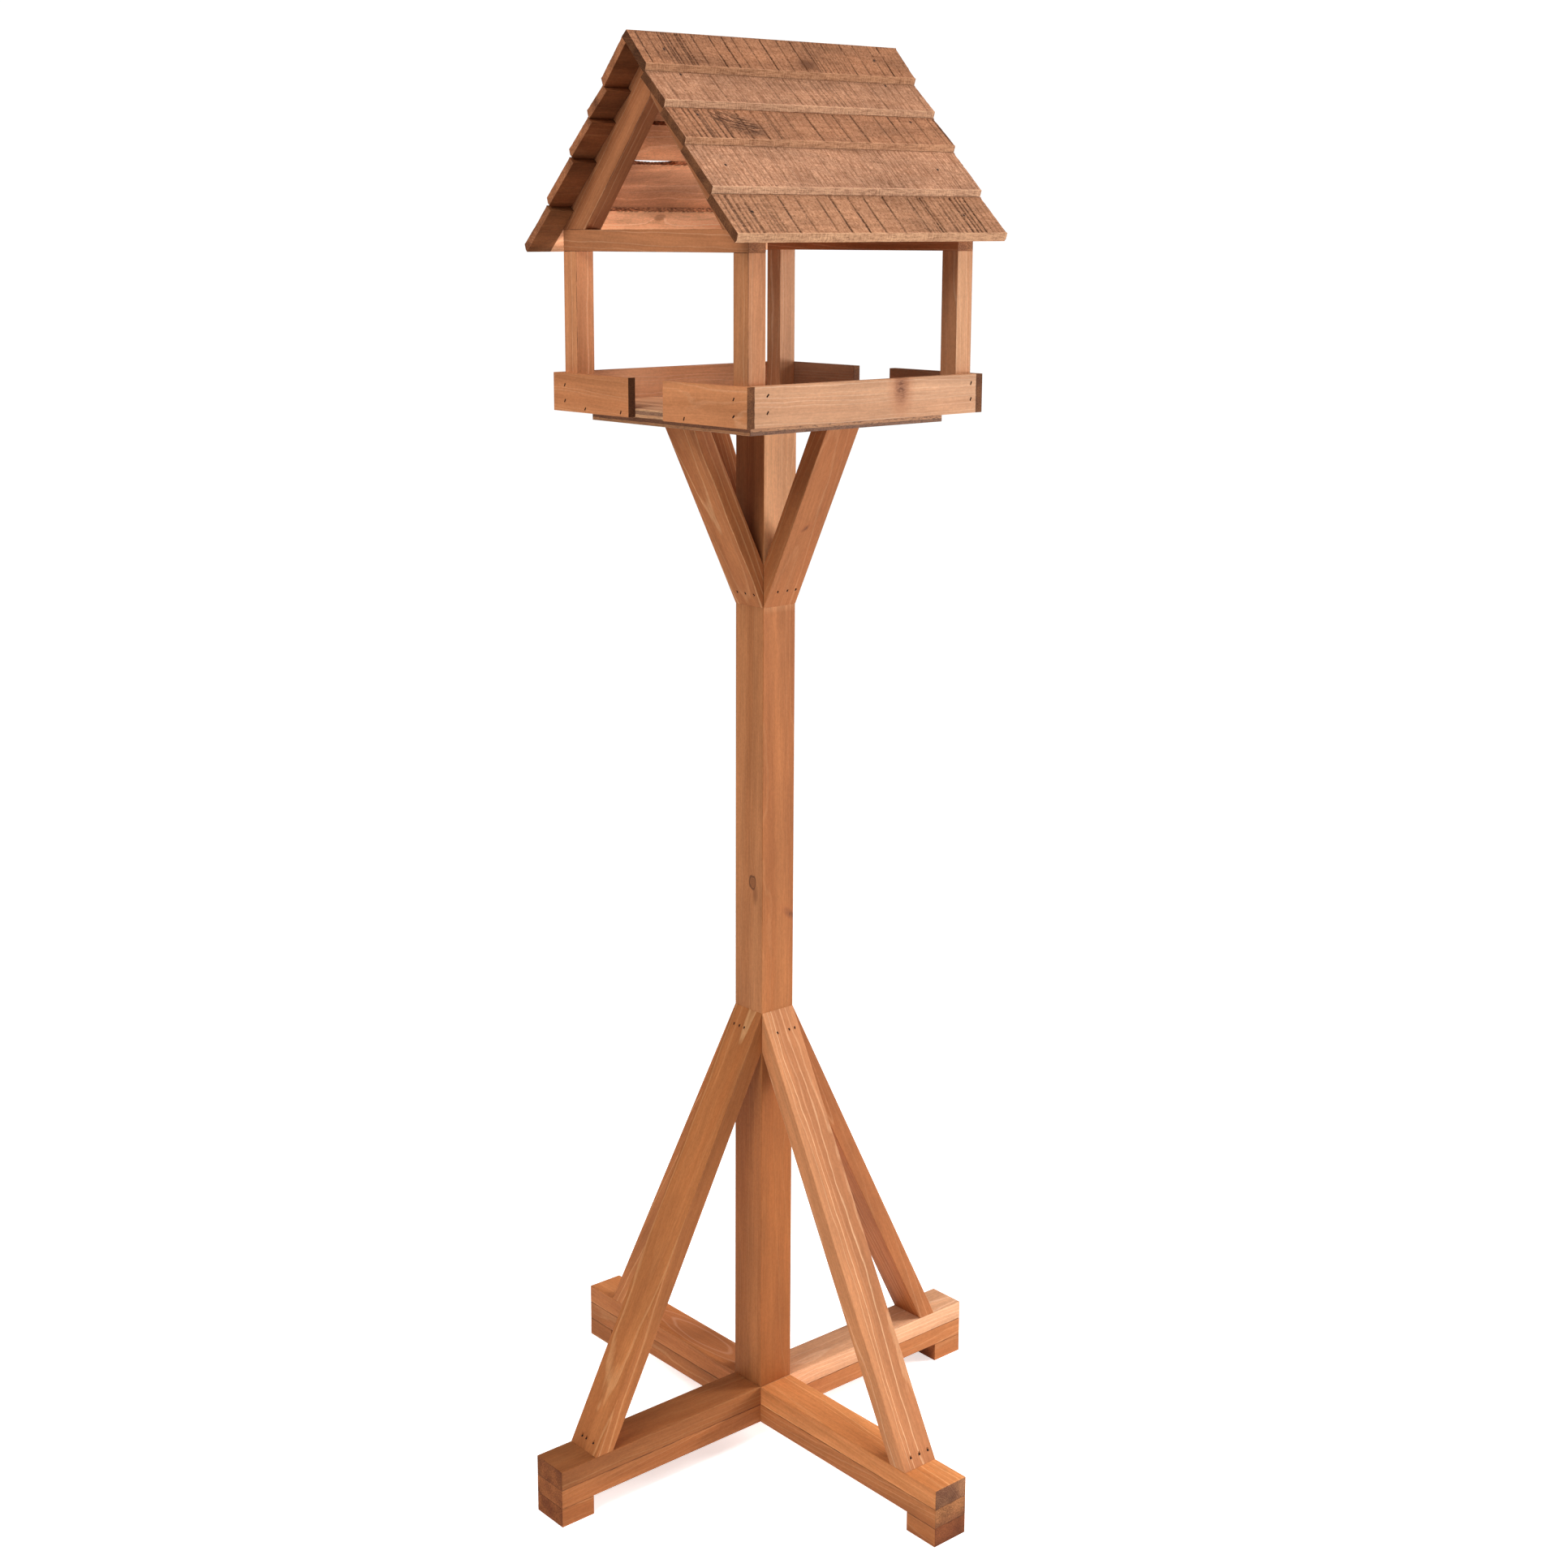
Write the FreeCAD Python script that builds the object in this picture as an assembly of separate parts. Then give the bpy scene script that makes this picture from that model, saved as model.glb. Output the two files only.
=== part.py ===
"""Bird table: a nailed softwood stand carrying a feeding tray and a pitched roof of stepped boards.

All sizes are millimetres. +Z is up, X runs along the ridge, and the origin is on the floor under the post.
"front" is the gable end on -X, "back" the one on +X, "right" the roof slope on -Y and "left" the one on +Y.
"""
import math
import os

import FreeCAD, Part

# Timber stock
post_size = 45.0
batten_thickness = 21.5
brace_thickness = 20.5
frame_stick = 22.0
rafter_thickness = 20.0
rafter_depth = 27.0
tray_board_thickness = 9.0
tray_board_height = 40.0
roof_board_thickness = 9.0
support_ply_thickness = 10.0
floor_ply_thickness = 8.5

# Stand
arm_length = 301.0
foot_length = 42.0
post_length = 1092.0
lower_brace_reach = 256.0
lower_brace_rise = 447.0
upper_brace_reach = 119.0
upper_brace_drop = 195.0

# Tray
tray_length = 322.0
tray_width = 314.0
support_ply_inset = 29.0
sweep_gap = 56.0
corner_post_height = 156.5

# Roof
roof_length = 364.0
roof_pitch = 49.5
step_depth = 6.0
first_step_depth = 4.5
lower_edge_bevel = 3.5
right_board_widths = (34.5, 46.0, 47.0, 60.5, 57.0)
left_board_widths = (48.0, 38.5, 50.0, 62.0, 60.0)

# Clearances
board_gap = 0.4
apex_joint_gap = 0.2
tie_corner_clearance = 0.5

# Brads: square wire, the head end sunk below the face it is driven through
brad_width = 1.4
brad_sink = 0.5
brad_into_post = 17.0
brad_into_batten = 17.0
brad_into_rafter = 15.0
brad_into_stick = 14.0
brad_into_ply = 12.0
brad_lower_row_inset = 19.0
brad_upper_row_inset = 14.5
brad_row_stagger = 3.0
brad_pair_spacing = 15.0
brad_toe_height = 11.0
brad_edge_inset = 12.0
brad_eaves_inset = 10.0

# Heights and places that follow from the sizes above
foot_top = batten_thickness
lower_layer_top = foot_top + batten_thickness
upper_layer_top = lower_layer_top + batten_thickness
post_top = upper_layer_top + post_length
support_ply_top = post_top + support_ply_thickness
floor_top = support_ply_top + floor_ply_thickness
tie_bottom = floor_top + corner_post_height
tie_top = tie_bottom + frame_stick
frame_half_length = tray_length / 2 - tray_board_thickness
frame_half_width = tray_width / 2 - tray_board_thickness
pitch_sin = math.sin(math.radians(roof_pitch))
pitch_cos = math.cos(math.radians(roof_pitch))

DIRECTIONS = ("back", "left", "front", "right")
SIDE_SIGN = {"right": -1, "left": 1}
END_SIGN = {"front": -1, "back": 1}
BOARD_WIDTHS = {"right": right_board_widths, "left": left_board_widths}

# Rows of brads are set by eye: places across each brace, as shares of the post's width from its middle
LOWER_WALL_ROWS = {
    "back": (-0.30, 0.04, 0.29),
    "left": (-0.26, 0.05, 0.33),
    "front": (-0.29, -0.09, 0.09),
    "right": (-0.21, 0.17, 0.35),
}
LOWER_TOE_ROWS = {
    "back": (-0.28, -0.02, 0.24),
    "left": (-0.21, 0.07, 0.30),
    "front": (-0.20, -0.04, 0.24),
    "right": (-0.20, 0.08, 0.36),
}
UPPER_WALL_ROWS = {
    "back": (-0.24, 0.03, 0.30),
    "left": (-0.30, -0.03, 0.22),
    "front": (-0.26, 0.03, 0.34),
    "right": (-0.22, 0.08, 0.34),
}
# Tray boards: brads into a corner post, as shares of the free height and of the stick from its outer face
TRAY_END_BRADS = (0.08, 0.60)
TRAY_SIDE_BRADS = (0.19, 0.71)
TRAY_SIDE_BRAD_PLACES = {"front": 0.78, "back": 0.36}
# Brads into the tray floor's edge, as shares of each end board's length from the gap
TRAY_EDGE_BRADS = {"right": (0.26,), "left": (0.10, 0.57)}
# One brad per roof board and rafter: share of the board's width from its top edge, or in the last board how many
# eaves insets above the rafter's foot, and share of the rafter's thickness from its outer face
ROOF_BRADS = {
    ("right", "front"): ((0.275, 0.23), (0.07, 0.66), (0.20, 0.30), (0.44, 0.26), (1.2, 0.34)),
    ("right", "back"): ((0.20, 0.80), (0.07, 0.77), (0.17, 0.53), (0.45, 0.70), (0.8, 0.75)),
    ("left", "front"): ((0.30, 0.50), (0.32, 0.42), (0.24, 0.58), (0.46, 0.45), (1.4, 0.30)),
    ("left", "back"): ((0.34, 0.45), (0.22, 0.52), (0.38, 0.38), (0.40, 0.60), (1.1, 0.72)),
}


def box(x_range, y_range, z_range):
    """A block filling the three ranges, each given as (low, high)."""
    low = [min(pair) for pair in (x_range, y_range, z_range)]
    size = [abs(pair[1] - pair[0]) for pair in (x_range, y_range, z_range)]
    return Part.makeBox(size[0], size[1], size[2], FreeCAD.Vector(*low))


def prism(points, move):
    """A straight prism of the closed outline through points, pushed along the vector move."""
    corners = [FreeCAD.Vector(*point) for point in points]
    wire = Part.makePolygon(corners + corners[:1])
    return Part.Face(wire).extrude(FreeCAD.Vector(*move))


def turned(shape, quarter_turns):
    """A copy of shape turned about the post axis by so many quarter turns."""
    copy = shape.copy()
    copy.rotate(FreeCAD.Vector(0, 0, 0), FreeCAD.Vector(0, 0, 1), 90.0 * quarter_turns)
    return copy


def mirrored_range(sign, inner, outer):
    """The (low, high) range between two distances from the middle, on the side that sign names."""
    return tuple(sorted((sign * inner, sign * outer)))


def make_base():
    """Two crossed layers, each one full bar and two half bars, on four foot blocks."""
    half = post_size / 2
    across = (-half, half)
    whole = (-arm_length, arm_length)
    lower = (foot_top, lower_layer_top)
    upper = (lower_layer_top, upper_layer_top)
    parts = {
        "base_upper_long": box(whole, across, upper),
        "base_lower_long": box(across, whole, lower),
    }
    for name, sign in SIDE_SIGN.items():
        parts[f"base_upper_half_{name}"] = box(across, mirrored_range(sign, half, arm_length), upper)
    for name, sign in END_SIGN.items():
        parts[f"base_lower_half_{name}"] = box(mirrored_range(sign, half, arm_length), across, lower)
    foot = box((arm_length - foot_length, arm_length), across, (0, foot_top))
    for turns, name in enumerate(DIRECTIONS):
        parts[f"foot_{name}"] = turned(foot, turns)
    return parts


def make_post():
    half = post_size / 2
    return {"post": box((-half, half), (-half, half), (upper_layer_top, post_top))}


def brace_outline(reach, wall_end, seat_end):
    """The four corners of a brace seen from the side: plumb cut on the post, level cut on its seat.

    reach is the distance from the post axis to the outer corner on the seat; wall_end and seat_end are the
    heights of the outer corner on the post and of the seat.
    """
    half = post_size / 2
    run = reach - half
    rise = wall_end - seat_end
    length = math.hypot(run, rise)
    level_width = brace_thickness * length / abs(rise)
    plumb_width = brace_thickness * length / run
    toward_seat = math.copysign(plumb_width, rise)
    return [
        (half, 0, wall_end),
        (half, 0, wall_end - toward_seat),
        (reach - level_width, 0, seat_end),
        (reach, 0, seat_end),
    ]


def make_braces():
    """Four long braces down to the base arms and four short ones up to the support plate."""
    parts = {}
    lower = brace_outline(lower_brace_reach, upper_layer_top + lower_brace_rise, upper_layer_top)
    upper = brace_outline(upper_brace_reach, post_top - upper_brace_drop, post_top)
    for kind, outline in (("lower", lower), ("upper", upper)):
        shifted = [(x, -post_size / 2, z) for x, _, z in outline]
        brace = prism(shifted, (0, post_size, 0))
        for turns, name in enumerate(DIRECTIONS):
            parts[f"brace_{kind}_{name}"] = turned(brace, turns)
    return parts


def make_tray():
    """Support plate, tray floor, two long side boards and four short end boards round the floor."""
    half_x = tray_length / 2
    half_y = tray_width / 2
    plate_x = half_x - support_ply_inset
    plate_y = half_y - support_ply_inset
    floor_x = (-frame_half_length, frame_half_length)
    floor_y = (-frame_half_width, frame_half_width)
    board_z = (support_ply_top, support_ply_top + tray_board_height)
    parts = {
        "support_ply": box((-plate_x, plate_x), (-plate_y, plate_y), (post_top, support_ply_top)),
        "floor_ply": box(floor_x, floor_y, (support_ply_top, floor_top)),
    }
    for side, side_sign in SIDE_SIGN.items():
        along_y = mirrored_range(side_sign, frame_half_width, half_y)
        parts[f"tray_side_{side}"] = box(floor_x, along_y, board_z)
        for end, end_sign in END_SIGN.items():
            along_x = mirrored_range(end_sign, frame_half_length, half_x)
            end_y = mirrored_range(side_sign, sweep_gap / 2, half_y)
            parts[f"tray_end_{end}_{side}"] = box(along_x, end_y, board_z)
    return parts


def make_roof_frame():
    """Corner posts on the tray floor, and a tie beam across each gable."""
    parts = {}
    for end, end_sign in END_SIGN.items():
        stick_x = mirrored_range(end_sign, frame_half_length - frame_stick, frame_half_length)
        tie_y = (-frame_half_width, frame_half_width)
        parts[f"tie_beam_{end}"] = box(stick_x, tie_y, (tie_bottom, tie_top))
        for side, side_sign in SIDE_SIGN.items():
            stick_y = mirrored_range(side_sign, frame_half_width - frame_stick, frame_half_width)
            parts[f"corner_post_{end}_{side}"] = box(stick_x, stick_y, (floor_top, tie_bottom))
    return parts


def board_edges(side):
    """Distances down the slope from the ridge to the lower edge of each board, the ridge itself first."""
    edges = [0.0]
    for width in BOARD_WIDTHS[side]:
        edges.append(edges[-1] + width)
    return edges


def seat_rise(side):
    """How high the seat line's ridge is above the tie beams, so the last board clears the beam's corner."""
    edges = board_edges(side)
    tilt = step_depth / (edges[-1] - edges[-2])
    reach = frame_half_width * pitch_sin - tilt * (frame_half_width * pitch_cos - edges[-2])
    return (reach + tie_corner_clearance) / (pitch_cos + tilt * pitch_sin)


seat_ridge_height = tie_top + max(seat_rise("right"), seat_rise("left"))


def slope_point(side, down, out, x=0.0):
    """The point so far down the slope from the seat ridge, and so far out from the seat line."""
    y = SIDE_SIGN[side] * (down * pitch_cos + out * pitch_sin)
    z = seat_ridge_height - down * pitch_sin + out * pitch_cos
    return (x, y, z)


def seat_height(side, board, down):
    """How far the seat of a board stands out from the seat line at a distance down the slope."""
    edges = board_edges(side)
    top_out = first_step_depth if board == 0 else 0.0
    share = (down - edges[board]) / (edges[board + 1] - edges[board])
    return top_out + share * (step_depth - top_out)


def rafter(side, x_range):
    """A rafter: one saw-tooth step per roof board, a plumb cut at the apex, a level cut on the tie beam."""
    edges = board_edges(side)
    above = -2 * rafter_depth
    below = edges[-1] + 2 * rafter_depth
    outline = [(above, -rafter_depth), (above, seat_height(side, 0, above))]
    for board in range(len(edges) - 2):
        outline.append((edges[board + 1], step_depth))
        outline.append((edges[board + 1], 0.0))
    outline.append((below, seat_height(side, len(edges) - 2, below)))
    outline.append((below, -rafter_depth))
    corners = [slope_point(side, down, out, x_range[0]) for down, out in outline]
    blank = prism(corners, (x_range[1] - x_range[0], 0, 0))
    keep_y = mirrored_range(SIDE_SIGN[side], apex_joint_gap / 2, tray_width)
    keep = box((x_range[0] - 1, x_range[1] + 1), keep_y, (tie_top, seat_ridge_height + tray_width))
    return blank.common(keep)


def ridge_start():
    """Where the right-hand top board starts, so that it covers the top edge of the left-hand one."""
    double_sin = 2 * pitch_sin * pitch_cos
    double_cos = pitch_cos**2 - pitch_sin**2
    cover = first_step_depth + roof_board_thickness - first_step_depth * double_cos
    return -cover / double_sin


def roof_board(side, board):
    """One roof board: tilted on its step, with the outer corner of its lower edge bevelled away."""
    edges = board_edges(side)
    start = edges[board] + board_gap
    if board == 0:
        start = ridge_start()
    end = edges[board + 1]
    bevel = end - lower_edge_bevel
    top_seat = seat_height(side, board, start)
    outline = [
        (start, top_seat),
        (start, top_seat + roof_board_thickness),
        (bevel, seat_height(side, board, bevel) + roof_board_thickness),
        (end, max(roof_board_thickness, step_depth + board_gap)),
        (end, step_depth),
    ]
    corners = [slope_point(side, down, out, -roof_length / 2) for down, out in outline]
    return prism(corners, (roof_length, 0, 0))


def space_over_right_top_board():
    """Everything from just under the right-hand top board outward, to cut the left-hand one back to it."""
    start = 3 * ridge_start()
    end = board_edges("right")[1]
    far = 10 * roof_board_thickness
    under = [seat_height("right", 0, down) - apex_joint_gap for down in (start, end)]
    outline = [(start, under[0]), (start, far), (end, far), (end, under[1])]
    corners = [slope_point("right", down, out, -roof_length) for down, out in outline]
    return prism(corners, (2 * roof_length, 0, 0))


def make_roof():
    """Two rafters at each gable and five lapped boards on each slope."""
    parts = {}
    for end, end_sign in END_SIGN.items():
        x_range = mirrored_range(end_sign, frame_half_length - rafter_thickness, frame_half_length)
        for side in SIDE_SIGN:
            parts[f"rafter_{end}_{side}"] = rafter(side, x_range)
    for side in SIDE_SIGN:
        for board in range(len(BOARD_WIDTHS[side])):
            parts[f"roof_board_{side}_{board + 1}"] = roof_board(side, board)
    parts["roof_board_left_1"] = parts["roof_board_left_1"].cut(space_over_right_top_board())
    return parts


class Brad:
    """One brad: where its line enters the wood, its direction, its depth, and how far the face may slope."""

    def __init__(self, entry, direction, length, face_slack=0.0):
        self.entry = FreeCAD.Vector(*entry)
        self.direction = FreeCAD.Vector(*direction).normalize()
        self.length = length
        self.face_slack = face_slack

    def bar(self, start, end):
        """A square bar along the brad's line between two depths."""
        half = brad_width / 2
        block = Part.makeBox(brad_width, brad_width, end - start, FreeCAD.Vector(-half, -half, start))
        spin = FreeCAD.Rotation(FreeCAD.Vector(0, 0, 1), self.direction)
        block.Placement = FreeCAD.Placement(self.entry, spin).multiply(block.Placement)
        return block

    def wire(self):
        return self.bar(brad_sink, self.length)

    def hole(self):
        return self.bar(-self.face_slack, self.length)

    def turned(self, quarter_turns):
        """The same brad turned about the post axis."""
        spin = FreeCAD.Rotation(FreeCAD.Vector(0, 0, 1), 90.0 * quarter_turns)
        entry = spin.multVec(self.entry)
        direction = spin.multVec(self.direction)
        return Brad(tuple(entry), tuple(direction), self.length, self.face_slack)


def base_brads():
    """Driven up through the feet and the lower layer, and four more into the foot of the post."""
    brads = []
    near = post_size / 2 + brad_edge_inset
    for turns in range(len(DIRECTIONS)):
        for side in (-1, 1):
            entry = (arm_length - foot_length / 2, side * brad_pair_spacing / 2, 0)
            brads.append(Brad(entry, (0, 0, 1), lower_layer_top + brad_into_batten).turned(turns))
        brads.append(Brad((near, 0, foot_top), (0, 0, 1), batten_thickness + brad_into_batten).turned(turns))
        corner = (brad_pair_spacing / 2, brad_pair_spacing / 2, foot_top)
        brads.append(Brad(corner, (0, 0, 1), 2 * batten_thickness + brad_into_post).turned(turns))
    return brads


def wall_brads(wall_end, seat_end, reach, turns, row, inset):
    """A row of brads through the plumb end of a brace into the post."""
    half = post_size / 2
    lean = (reach - half) / abs(wall_end - seat_end)
    own_inset = inset + brad_row_stagger * (turns % 2)
    height = wall_end - math.copysign(own_inset, wall_end - seat_end)
    start = half + own_inset * lean
    slack = brad_width
    length = start - half + brad_into_post
    brads = []
    for place in row:
        entry = (start, place * post_size, height)
        brads.append(Brad(entry, (-1, 0, 0), length, slack).turned(turns))
    return brads


def lower_brace_brads():
    """A row into the post and a row down into the base arm for each long brace."""
    brads = []
    wall_end = upper_layer_top + lower_brace_rise
    lean = (lower_brace_reach - post_size / 2) / lower_brace_rise
    for turns, name in enumerate(DIRECTIONS):
        ends = (wall_end, upper_layer_top, lower_brace_reach)
        brads.extend(wall_brads(*ends, turns, LOWER_WALL_ROWS[name], brad_lower_row_inset))
        for place in LOWER_TOE_ROWS[name]:
            x = lower_brace_reach - brad_toe_height * lean
            entry = (x, place * post_size, upper_layer_top + brad_toe_height)
            length = brad_toe_height + brad_into_batten
            brads.append(Brad(entry, (0, 0, -1), length, brad_width * 2).turned(turns))
    return brads


def upper_brace_brads():
    """A row into the post for each short brace, and one down through the support plate."""
    brads = []
    run = upper_brace_reach - post_size / 2
    level_width = brace_thickness * math.hypot(run, upper_brace_drop) / upper_brace_drop
    x = upper_brace_reach - level_width * 0.65
    wall_end = post_top - upper_brace_drop
    for turns, name in enumerate(DIRECTIONS):
        ends = (wall_end, post_top, upper_brace_reach)
        brads.extend(wall_brads(*ends, turns, UPPER_WALL_ROWS[name], brad_upper_row_inset))
        entry = (x, 0, support_ply_top)
        length = support_ply_thickness + brad_into_ply
        brads.append(Brad(entry, (0, 0, -1), length).turned(turns))
    return brads


def plate_brads():
    """The support plate on the post, and the tray floor on the support plate."""
    brads = []
    plate_x = tray_length / 2 - support_ply_inset - 2 * brad_edge_inset
    plate_y = tray_width / 2 - support_ply_inset - 2 * brad_edge_inset
    for end in (-1, 1):
        entry = (end * brad_pair_spacing / 2, 0, support_ply_top)
        brads.append(Brad(entry, (0, 0, -1), support_ply_thickness + brad_into_post))
        for side in (-1, 1):
            entry = (end * plate_x, side * plate_y, floor_top)
            length = floor_ply_thickness + support_ply_thickness * 0.8
            brads.append(Brad(entry, (0, 0, -1), length))
    return brads


def tray_brads():
    """Through the tray boards into the corner posts and into the edge of the tray floor."""
    brads = []
    half_x = tray_length / 2
    half_y = tray_width / 2
    floor_middle = support_ply_top + floor_ply_thickness / 2
    free_height = tray_board_height - floor_ply_thickness
    length = tray_board_thickness + brad_into_stick
    edge_length = tray_board_thickness + brad_into_ply
    for side_name, side in SIDE_SIGN.items():
        for end_name, end in END_SIGN.items():
            for share in TRAY_END_BRADS:
                y = side * (frame_half_width - frame_stick / 2)
                entry = (end * half_x, y, floor_top + free_height * share)
                brads.append(Brad(entry, (-end, 0, 0), length))
            for share in TRAY_SIDE_BRADS:
                x = end * (frame_half_length - frame_stick * TRAY_SIDE_BRAD_PLACES[end_name])
                entry = (x, side * half_y, floor_top + free_height * share)
                brads.append(Brad(entry, (0, -side, 0), length))
            for share in TRAY_EDGE_BRADS[side_name]:
                y = side * (sweep_gap / 2 + (half_y - sweep_gap / 2) * share)
                brads.append(Brad((end * half_x, y, floor_middle), (-end, 0, 0), edge_length))
    return brads


def frame_brads():
    """Tie beams on the corner posts, and the rafter feet from below through the tie beams."""
    brads = []
    length = frame_stick + brad_into_stick
    x = frame_half_length - frame_stick / 2
    foot_y = frame_half_width - frame_stick - brad_edge_inset
    for end in (-1, 1):
        for side in (-1, 1):
            top = (end * x, side * (frame_half_width - frame_stick / 2), tie_top)
            brads.append(Brad(top, (0, 0, -1), length))
            brads.append(Brad((end * x, side * foot_y, tie_bottom), (0, 0, 1), length))
    return brads


def roof_brad_place(side, board, share):
    """How far down the slope a roof brad enters, and how deep it goes into the rafter, clear of its foot."""
    edges = board_edges(side)
    foot_down = (seat_ridge_height - tie_top) / pitch_sin
    down = edges[board] + (edges[board + 1] - edges[board]) * share
    if board == len(edges) - 2:
        margin = brad_edge_inset / 2
        down = max(foot_down - brad_eaves_inset * share, edges[board] + margin)
        down = min(down, edges[board + 1] - lower_edge_bevel - margin)
    above_foot = (foot_down - down) * pitch_sin / pitch_cos - brad_width
    return down, min(brad_into_rafter, above_foot)


def roof_brads():
    """One brad per board into each rafter."""
    brads = []
    for side, side_sign in SIDE_SIGN.items():
        inward = (0, -side_sign * pitch_sin, -pitch_cos)
        edges = board_edges(side)
        for board in range(len(edges) - 1):
            for end_name, end in END_SIGN.items():
                share, inset = ROOF_BRADS[side, end_name][board]
                x = end * (frame_half_length - rafter_thickness * inset)
                down, depth = roof_brad_place(side, board, share)
                out = seat_height(side, board, down) + roof_board_thickness
                entry = slope_point(side, down, out, x)
                brads.append(Brad(entry, inward, roof_board_thickness + depth, brad_width))
    return brads


def make_brads():
    """Every group of brads by name."""
    return {
        "brads_base": base_brads(),
        "brads_lower_braces": lower_brace_brads(),
        "brads_upper_braces": upper_brace_brads(),
        "brads_plates": plate_brads(),
        "brads_tray": tray_brads(),
        "brads_roof_frame": frame_brads(),
        "brads_roof_boards": roof_brads(),
    }


def drill(timbers, groups):
    """Cut the hole of every brad out of each timber that the brad passes through."""
    holes = [brad.hole() for brads in groups.values() for brad in brads]
    for name, timber in timbers.items():
        near = [hole for hole in holes if hole.BoundBox.intersect(timber.BoundBox)]
        cutters = [hole for hole in near if hole.common(timber).Volume > 0.01]
        if cutters:
            timbers[name] = timber.cut(Part.makeCompound(cutters))
    return timbers


def single(shape):
    """The solid inside a shape that a cut has wrapped in a compound."""
    solids = shape.Solids
    return solids[0] if len(solids) == 1 else shape


def main():
    """Build every piece and write one STEP file for each."""
    timbers = {}
    for make in (make_base, make_post, make_braces, make_tray, make_roof_frame, make_roof):
        timbers.update(make())
    groups = make_brads()
    timbers = drill(timbers, groups)
    os.makedirs("parts", exist_ok=True)
    for name, timber in timbers.items():
        single(timber).exportStep(f"parts/{name}.step")
    for name, brads in groups.items():
        Part.makeCompound([brad.wire() for brad in brads]).exportStep(f"parts/{name}.step")


main()
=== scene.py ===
"""Looks of the nailed softwood bird table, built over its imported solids.

Metres throughout. +Z is up and X runs along the ridge. "front" is the gable on -X, "back" the one on +X,
"right" the roof slope on -Y and "left" the one on +Y.
"""
import logging
import math
import random
from dataclasses import dataclass, field, replace
from enum import Enum

import bmesh
import bpy
import numpy as np
from mathutils import Matrix, Vector


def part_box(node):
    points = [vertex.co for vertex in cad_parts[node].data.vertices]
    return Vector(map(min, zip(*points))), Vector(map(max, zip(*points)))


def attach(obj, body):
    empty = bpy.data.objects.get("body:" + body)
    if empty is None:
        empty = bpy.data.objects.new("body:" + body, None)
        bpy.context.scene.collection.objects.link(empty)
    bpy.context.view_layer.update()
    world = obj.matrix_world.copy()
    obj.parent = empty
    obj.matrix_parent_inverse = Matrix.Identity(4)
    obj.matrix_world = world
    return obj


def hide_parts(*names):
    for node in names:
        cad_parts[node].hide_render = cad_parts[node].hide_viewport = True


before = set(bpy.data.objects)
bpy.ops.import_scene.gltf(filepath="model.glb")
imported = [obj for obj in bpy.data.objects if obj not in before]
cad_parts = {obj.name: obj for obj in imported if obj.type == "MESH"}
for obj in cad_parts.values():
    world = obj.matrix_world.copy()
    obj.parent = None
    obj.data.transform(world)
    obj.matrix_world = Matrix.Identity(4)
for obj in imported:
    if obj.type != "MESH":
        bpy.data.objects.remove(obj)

MM = 0.001
FAR_OFF = 5.0
LOG = logging.getLogger("bird_table")
Colour = tuple[float, float, float]
Point2 = tuple[float, float]
Point3 = tuple[float, float, float]
Brads = list[tuple[Vector, Vector]]
Socket = bpy.types.NodeSocket


class Side(Enum):
    """The two roof slopes and the halves of the table under them."""

    RIGHT = -1
    LEFT = 1

    @property
    def word(self) -> str:
        """The side's name as the nodes spell it."""
        return self.name.lower()


class End(Enum):
    """The two gable ends."""

    FRONT = -1
    BACK = 1

    @property
    def word(self) -> str:
        """The end's name as the nodes spell it."""
        return self.name.lower()


class Slot(Enum):
    """The record's material slots."""

    PLANED = "planed_softwood"
    ROUGH = "rough_board"
    PLY = "plywood"
    STEEL = "brad_steel"


class Edge(Enum):
    """The faces of a roof board, seen in its section."""

    TOP = 0
    OUTER = 1
    LOWER = 2
    INNER = 3


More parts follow.
